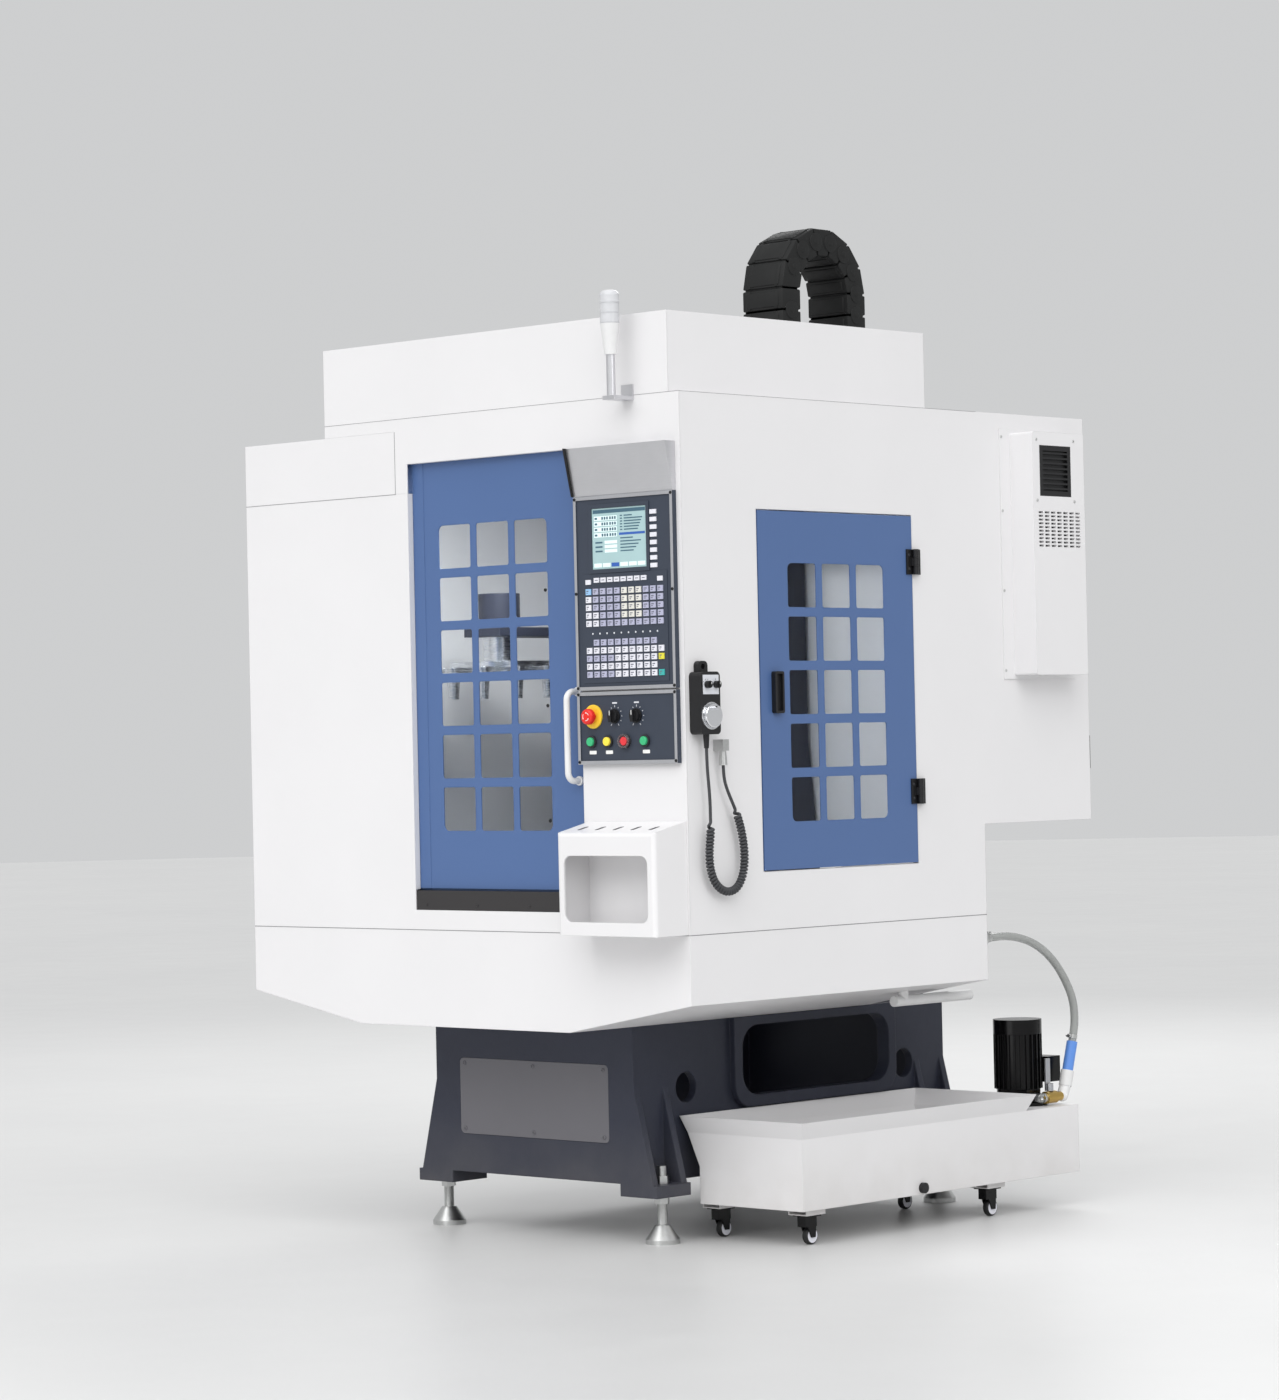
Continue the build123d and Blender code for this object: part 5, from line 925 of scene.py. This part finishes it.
def add_screws(name, face, radius, material, slot, body, places):
    """Button-head screws with a hexagon socket, one piece for the lot."""
    shape = Shape()
    rise = radius * 0.55
    socket = radius * 0.5
    profile = (
        (radius, -0.5), (radius, rise * 0.25), (radius * 0.92, rise * 0.6), (radius * 0.7, rise * 0.92),
        (socket * 1.1, rise), (socket, rise * 0.85), (socket * 0.95, rise * 0.3),
    )
    for place in places:
        shape.lathe(profile, facing(place, face), 18)
    shape.done(name, material, slot, body)


def add_pump_bolts():
    """Hexagon heads on round washers, on the pump's flange."""
    shape = Shape()
    size = PUMP_BOLT_SIZE
    washer = ((size * 0.75, -0.3), (size * 0.75, size * 0.12), (size * 0.7, size * 0.15))
    head = ((size * 0.55, size * 0.14), (size * 0.57, size * 0.5), (size * 0.48, size * 0.62))
    for x, y in polar(PUMP_BOLT_CIRCLE, PUMP_BOLT_ANGLES):
        place = Matrix.Translation((PUMP_X + x, PUMP_Y + y, PUMP_FLANGE_TOP))
        shape.lathe(washer, place, 24)
        shape.lathe(head, place, 6)
    shape.done("pump_bolts", "zinc", "steel", smooth=25)


add_seams()
for name, settings in SCREWS.items():
    add_screws(name, *settings)
add_pump_bolts()


# Control panel details

KNOBS = {"feed_knob": 541, "spindle_knob": 616}
KNOB_TOP, STOP_TOP = -792.5, -802
TAGS_X, TAGS_BELOW, TAG_RISE = (463, 520, 647), 27, 0.8
TICKS, TICK_START, TICK_STEP, TICK_CIRCLE = 11, 150, 30, 22
TITLE_ABOVE = 33
MARK_RISE, POINTER_RISE, ARROW_RISE = 0.4, 0.3, 0.35
ARROW_ANGLES, ARROW_TIP = range(20, 85, 8), 98
ARROW_OUTER, ARROW_INNER = 10.8, 9.2
HEAD_OUTER, HEAD_MIDDLE, HEAD_INNER = 12.6, 10, 7.4


def add_pointer(knob, outline, place, face):
    """Pale pointer on a knob's top, which turns with the knob."""
    pointer = Shape()
    pointer.flat(outline, facing(place, face), POINTER_RISE)
    pointer.done(knob + "_pointer", "label_white", "white_plastic", knob)


def add_panel_marks():
    """Blank tags, knob scales, knob pointers and the arrows on the stop button."""
    tags = Shape()
    for x in TAGS_X:
        place = (x, PANEL_FACE, BUTTON_Z - TAGS_BELOW)
        tags.flat(rounded_outline(24, 9, 2), facing(place, FACE_FRONT), TAG_RISE)
    tags.done("button_tags", "label_white", "white_plastic")
    scale = Shape()
    for x in KNOBS.values():
        for tick in range(TICKS):
            turn = facing((x, PANEL_FACE, KNOB_Z), FACE_FRONT) @ turned(TICK_START - TICK_STEP * tick)
            length = 5.5 if tick % 5 == 0 else 3.5
            spot = Matrix.Translation((0, TICK_CIRCLE + length / 2, 0))
            scale.flat(rounded_outline(1.6, length, 0.7, 2), turn @ spot, MARK_RISE)
        title = facing((x, PANEL_FACE, KNOB_Z + TITLE_ABOVE), FACE_FRONT)
        scale.flat(rounded_outline(17, 4, 1.5), title, MARK_RISE)
    scale.done("knob_scales", "mark_white", "white_plastic")
    for name, x in KNOBS.items():
        add_pointer(name, rounded_outline(2.2, 12, 1, 3), (x, KNOB_TOP, KNOB_Z + 8), FACE_FRONT)
    arrows = Shape()
    for third in range(3):
        turn = facing((STOP_X, STOP_TOP, KNOB_Z), FACE_FRONT) @ turned(120 * third)
        bow = polar(ARROW_OUTER, ARROW_ANGLES) + polar(ARROW_INNER, reversed(ARROW_ANGLES))
        arrows.flat(bow, turn, ARROW_RISE)
        last = ARROW_ANGLES[-1:]
        head = polar(HEAD_OUTER, last) + polar(HEAD_MIDDLE, (ARROW_TIP,)) + polar(HEAD_INNER, last)
        arrows.flat(head, turn, ARROW_RISE)
    arrows.done("stop_arrows", "label_white", "white_plastic", "emergency_stop")


SCREEN_LEFT, SCREEN_TOP = 475, 1886
SCREEN_SHARE = 0.94


def screen_bar(shape, left, top, width, height, rise=0.3):
    """A flat mark on the display, placed from its upper left corner."""
    x, z = SCREEN_LEFT + left * SCREEN_SHARE, SCREEN_TOP - top
    shape.box((x, x + width * SCREEN_SHARE), (PANEL_FACE - rise, PANEL_FACE), (z - height, z))


def add_screen():
    """A plain machine display: title band, value rows, a program list and a row of soft keys."""
    dark, pale, blue = Shape(), Shape(), Shape()
    screen_bar(dark, 4, 4, 192, 9)
    for row in range(4):
        top = 20 + row * 14
        screen_bar(pale, 8, top, 84, 11)
        screen_bar(dark, 11, top + 3, 9, 5, 0.5)
        for digit in range(6):
            screen_bar(dark, 36 + digit * 9 + (digit > 2) * 2, top + 2, 6, 7, 0.5)
    for row in range(6):
        top = 20 + row * 7
        screen_bar(dark, 104, top, 8, 3)
        screen_bar(dark, 118, top, 30 + (row * 37) % 41, 3)
    screen_bar(blue, 100, 64, 94, 6)
    for row in range(5):
        screen_bar(dark, 104, 76 + row * 8, 46 + (row * 29) % 38, 3)
    for row in range(3):
        screen_bar(dark, 12, 84 + row * 11, 26, 4)
        screen_bar(pale, 46, 82 + row * 11, 46, 8)
    for key in range(6):
        screen_bar(blue if key == 2 else pale, 6 + key * 32, 138, 28, 10)
    dark.done("screen_dark_marks", "screen_dark", "screen_glass")
    pale.done("screen_pale_marks", "screen_pale", "screen_glass")
    blue.done("screen_blue_marks", "screen_blue", "screen_glass")


PENDANT_PLATE, DIAL_FLANGE, SELECTOR_TOP = 812, 813, 828.5
DIAL_TICKS, DIAL_TICK_CIRCLE, DIAL_TICK_RISE = 40, 31.8, 0.2
# Y and number of stops of each selector knob.
SELECTORS = {"pendant_axis_knob": (-726, 4), "pendant_step_knob": (-694, 3)}
SELECTOR_Z, SELECTOR_SWEEP, STOP_CIRCLE, STOP_RISE = 1436, 120, 13, 0.25


def add_pendant_marks():
    """Scale on the pendant's dial flange, and marks beside its selector knobs."""
    marks = Shape()
    for tick in range(DIAL_TICKS):
        turn = facing((DIAL_FLANGE, *DIAL_PLACE), FACE_RIGHT) @ turned(360 / DIAL_TICKS * tick)
        length = 3.0 if tick % 5 == 0 else 1.8
        spot = turn @ Matrix.Translation((0, DIAL_TICK_CIRCLE, 0))
        marks.flat(rounded_outline(0.7, length, 0.3, 2), spot, DIAL_TICK_RISE)
    for y, stops in SELECTORS.values():
        for stop in range(stops):
            angle = -SELECTOR_SWEEP / 2 + SELECTOR_SWEEP * stop / (stops - 1)
            turn = facing((PENDANT_PLATE, y, SELECTOR_Z), FACE_RIGHT) @ turned(angle)
            spot = turn @ Matrix.Translation((0, STOP_CIRCLE, 0))
            marks.flat(rounded_outline(1.2, 3.6, 0.5, 2), spot, STOP_RISE)
    marks.done("pendant_marks", "plastic_dark", "black_plastic")
    for name, (y, _) in SELECTORS.items():
        add_pointer(name, rounded_outline(1.4, 6, 0.6, 3), (SELECTOR_TOP, y, SELECTOR_Z + 3), FACE_RIGHT)


KEY_LAMPS, KEY_LAMPS_INSET, KEY_LAMPS_ABOVE = 10, 20, 124
KEY_LAMP_PROFILE = ((2.6, 0), (2.4, 0.8), (1.2, 1.4))


def add_key_lamps():
    """Small indicator lamps between the two key blocks."""
    shape = Shape()
    for lamp in range(KEY_LAMPS):
        x = KEYS_LEFT + KEY_LAMPS_INSET + lamp * KEY_PITCH_X
        place = (x, PANEL_FACE - 1, KEYS_BOTTOM + KEY_LAMPS_ABOVE)
        shape.lathe(KEY_LAMP_PROFILE, facing(place, FACE_FRONT), 14)
    shape.done("key_lamps", "mark_white", "white_plastic")


def add_key_marks():
    """Two short bars on each key and one on each soft key, in place of legends."""
    shape = Shape()
    face = (KEY_TOP - 0.25, KEY_TOP + 0.1)
    for block, low in enumerate(BLOCK_BOTTOMS):
        for row in range(KEY_ROWS):
            for column in range(KEY_COLUMNS):
                if block == 0 and (row, column) in KEYS_LEFT_OUT:
                    continue
                x = KEYS_LEFT + column * KEY_PITCH_X + 3
                z = KEYS_BOTTOM + low + row * KEY_PITCH_Z
                width = 7 + (row * 5 + column * 3) % 5
                shape.box((x, x + width), face, (z + 8.5, z + 11))
                shape.box((x, x + 0.6 * width), face, (z + 4, z + 6))
    for key in range(SOFT_KEYS):
        x = SOFT_KEYS_LEFT + key * SOFT_KEY_PITCH + 4
        shape.box((x, x + 10), face, beyond(SOFT_KEYS_BOTTOM, 5, 7))
    shape.done("key_marks", "mark_grey", "black_plastic")


# Y and Z of the black plate at the visor's left end, put there as painted shade, its place in X and its
# thickness.
HOOD_OUTLINE = ((-760, 1919), (-779, 1919), (-807, 2041), (-760, 2041))
HOOD_END, HOOD_END_THICKNESS = 410.2, 2.6


def add_hood_end_shade():
    """Black plate on the visor's left end, a little proud of its sheet, as painted shade on that end."""
    shape = Shape()
    shape.flat(HOOD_OUTLINE, facing((HOOD_END, 0, 0), FACE_RIGHT), HOOD_END_THICKNESS)
    shape.done("hood_end_shade", "plastic_black", "black_plastic")


add_panel_marks()
add_screen()
add_pendant_marks()
add_key_lamps()
add_key_marks()
add_hood_end_shade()


# Inside the electrical cabinet

COVER_HALF = 39
DRIVE_VENTS, DRIVE_KEYS, DRIVE_PINS, DRIVE_PITCH = 9, 4, 6, 12
VENTS_BOTTOM, VENT_PITCH = 1590, 11
TOP_VENT_Y, TOP_VENT_PITCH = (442, 447), 16
PIN_SCREW_Z = 1460
DUCT_X, DUCT_BOTTOMS = (160, 680), (1320, 1830)
DUCT_TEETH, TOOTH_PITCH = 44, 11.9
BREAKERS, WIDE_BREAKERS = 14, 5


def add_drive_fronts():
    """Covers, vents, small displays, keys and terminals on the drive units."""
    covers, dark, terminals, keys = Shape(), Shape(), Shape(), Shape()
    for x in DRIVES:
        covers.box(about(x, COVER_HALF), beyond(DRIVE_FRONT, -1, 5), (1560, 1768), 3)
        covers.box(about(x, COVER_HALF), beyond(DRIVE_FRONT, -1, 3), (1432, 1548), 2)
        dark.box(about(x, 22), beyond(DRIVE_FRONT, 4.5, 5.6), (1728, 1750), 0.5)
        # The vent slots are flat black bars: painted shade in the openings.
        for vent in range(DRIVE_VENTS):
            z = VENTS_BOTTOM + vent * VENT_PITCH
            dark.box(about(x, 28), beyond(DRIVE_FRONT, 4.6, 5.3), (z, z + 4), 0.3)
            dark.box(about(x, 30), beyond(vent * TOP_VENT_PITCH, *TOP_VENT_Y), (1779.5, 1780.6), 0.3)
        for key in range(DRIVE_KEYS):
            middle = x - 18 + key * DRIVE_PITCH
            keys.box(about(middle, 4), beyond(DRIVE_FRONT, 4.5, 6.5), (1706, 1716), 0.8)
        for pin in range(DRIVE_PINS):
            middle = x - 30 + pin * DRIVE_PITCH
            terminals.box(about(middle, 5), beyond(DRIVE_FRONT, 2, 13), (1442, 1470), 1.2)
            low, high = beyond(DRIVE_FRONT, 12, 13.6)
            dark.rod((middle, low, PIN_SCREW_Z), (middle, high, PIN_SCREW_Z), 2.8, sides=12)
        for z in (1488, 1514):
            dark.box(about(x, 26), beyond(DRIVE_FRONT, 2, 9), (z, z + 15), 1.5)
    covers.done("drive_covers", "panel_grey", "panel_plastic")
    dark.done("drive_vents", "plastic_black", "black_plastic")
    terminals.done("drive_terminals", "plastic_green", "green_plastic")
    keys.done("drive_keys", "key_pale", "white_plastic")


def add_cabinet_fittings():
    """Slotted wire ducts and a rail of circuit breakers on the mounting plate."""
    ducts = Shape()
    for low in DUCT_BOTTOMS:
        ducts.box(DUCT_X, beyond(MOUNT_FACE, 0, 3), (low, low + 50))
        ducts.box(DUCT_X, beyond(MOUNT_FACE, 58, 62), (low - 1, low + 51), 1)
        for tooth in range(DUCT_TEETH):
            x = DUCT_X[0] + tooth * TOOTH_PITCH
            for z in (low, low + 48):
                ducts.box((x, x + 8), beyond(MOUNT_FACE, 0, 60), (z, z + 2))
    ducts.done("wire_ducts", "drive_grey", "panel_plastic")
    rail, breakers, levers = Shape(), Shape(), Shape()
    rail.box((170, 670), beyond(MOUNT_FACE, 0, 8), (1192, 1227), 1)
    for unit in range(BREAKERS):
        wide = unit < WIDE_BREAKERS
        x = 196 + unit * 32 if wide else 262 + unit * 24
        width = 26 if wide else 17.5
        middle = x + width / 2
        breakers.box((x, x + width), beyond(MOUNT_FACE, 5, 52), (1168, 1251), 1.5)
        breakers.box((x, x + width), beyond(MOUNT_FACE, 50, 66), (1186, 1233), 2)
        levers.box(about(middle, 4), beyond(MOUNT_FACE, 64, 76), (1208, 1220), 1)
        low, high = beyond(MOUNT_FACE, 51, 52.6)
        for z in (1176, 1243):
            levers.rod((middle, low, z), (middle, high, z), 3, sides=12)
    rail.done("breaker_rail", "zinc", "steel")
    breakers.done("breakers", "key_pale", "white_plastic")
    levers.done("breaker_levers", "plastic_black", "black_plastic")


add_drive_fronts()
add_cabinet_fittings()


# Lamp, feet and hose fittings

LAMP_X, LAMP_Y, LAMP_RINGS_Z = 598, -820, (2341, 2366, 2391)
LAMP_RING_PROFILE = ((23.2, -1.6), (24.3, -1.2), (24.5, 0), (24.3, 1.2), (23.2, 1.6))
FEET_X, FEET_Y = (-437, 357), (-442, 689)
# Heights of the thread below and above the foot lugs.
THREADS_Z = ((50, 121), (177, 200))
THREAD_PITCH, THREAD_CORE, THREAD_FLANK, THREAD_CREST = 3, 12.6, 13.1, 13.8
CLAMP_FROM_END = 14
CLAMP_PROFILE = ((11.2, -5.5), (12.2, -5.0), (12.2, 5.0), (11.2, 5.5))


def add_lamp_rings():
    """Moulded rings on the signal lamp's lens."""
    rings = Shape()
    for place in grid((LAMP_X,), (LAMP_Y,), LAMP_RINGS_Z):
        rings.lathe(LAMP_RING_PROFILE, Matrix.Translation(place), 40)
    rings.done("lamp_rings", "ring_grey", "white_plastic")


def thread_profile(low, high):
    """Half section of a thread between two heights."""
    profile = [(THREAD_CORE, low)]
    for turn in range(int((high - low) / THREAD_PITCH)):
        start = low + THREAD_PITCH * turn
        profile += [(THREAD_FLANK, start + 0.4), (THREAD_CREST, start + 1.5), (THREAD_FLANK, start + 2.6)]
    return profile + [(THREAD_CORE, high)]


def add_foot_threads():
    """Thread crests on the levelling screws, below and above the foot lugs."""
    threads = Shape()
    for place in grid(FEET_X, FEET_Y, (0,)):
        for low, high in THREADS_Z:
            threads.lathe(thread_profile(low, high), Matrix.Translation(place), 24)
    threads.done("foot_threads", "zinc", "steel", smooth=20)


def add_hose_clamps():
    """Worm-drive clamps on both ends of the supply hose."""
    shape = Shape()
    line = line_of(HOSE_ROUTE)
    for length in (CLAMP_FROM_END, line_length(line) - CLAMP_FROM_END):
        place, ahead = at_length(line, length)
        turn = Matrix.Translation(place) @ ahead.to_track_quat("Z", "X").to_matrix().to_4x4()
        shape.lathe(CLAMP_PROFILE, turn, 32)
        shape.box((11, 17), (-6, 6), (-5, 5), 1, turn=turn)
        shape.rod((14.5, -10, 0), (14.5, 10, 0), 3.4, sides=6, turn=turn)
    return shape.done("hose_clamps", "zinc", "steel")


add_lamp_rings()
add_foot_threads()
hose_clamps = add_hose_clamps()


# Stage and light

MIDDLE = (0, 0, 1.2)
# Place, target, size and power of each soft lamp, in metres and watts.
LAMPS = {
    "key_light": ((-1.5, -6.5, 5.5), MIDDLE, (4.0, 3.0), 70),
    "side_light": ((6.5, -1.0, 4.0), MIDDLE, (3.0, 3.0), 70),
    "back_light": ((-3.5, 5.5, 5.0), MIDDLE, (4.0, 3.0), 150),
    "low_fill": ((0.7, -4.0, 0.4), (0.6, -0.3, 0.1), (2.0, 0.8), 10),
    "work_light": ((-0.04, -0.45, 2.08), (-0.04, -0.3, 0.8), (0.5, 0.2), 21),
}


def add_area(name, place, target, size, power):
    """A soft rectangular lamp aimed at a point."""
    data = bpy.data.lights.new(name, "AREA")
    data.shape = "RECTANGLE"
    data.size, data.size_y = size
    data.energy = power
    lamp = put(name, data)
    lamp.location = place
    lamp.rotation_euler = (Vector(target) - Vector(place)).to_track_quat("-Z", "Y").to_euler()


def add_sun(name, toward, strength, angle):
    """A very broad distant lamp, so that the floor is lit evenly."""
    data = bpy.data.lights.new(name, "SUN")
    data.energy = strength
    data.angle = math.radians(angle)
    put(name, data).rotation_euler = Vector(toward).to_track_quat("Z", "Y").to_euler()


def add_stage():
    """Pale plain floor, an even pale surround and soft studio lamps."""
    floor = Nodes("floor_pale")
    floor.set(Base_Color=floor.mix(floor.noise(0.7, 4.0), srgb(206, 206, 206), srgb(214, 214, 213)))
    floor.set(Roughness=floor.span(floor.noise(4.0, 5.0), 0.3, 0.45))
    mesh = bmesh.new()
    bmesh.ops.create_circle(mesh, cap_ends=True, radius=40, segments=64)
    data = bpy.data.meshes.new("floor")
    mesh.to_mesh(data)
    mesh.free()
    data.materials.append(MATERIALS["floor_pale"])
    made = put("floor", data)
    world = bpy.data.worlds.new("surround")
    world.use_nodes = True
    background = world.node_tree.nodes["Background"].inputs
    background["Color"].default_value = srgb(238, 239, 240)
    background["Strength"].default_value = 0.72
    bpy.context.scene.world = world
    add_sun("soft_sun", toward=(0.42, -0.68, 0.9), strength=1.9, angle=65)
    for name, settings in LAMPS.items():
        add_area(name, *settings)
    bpy.context.scene.view_settings.view_transform = "Standard"


add_stage()
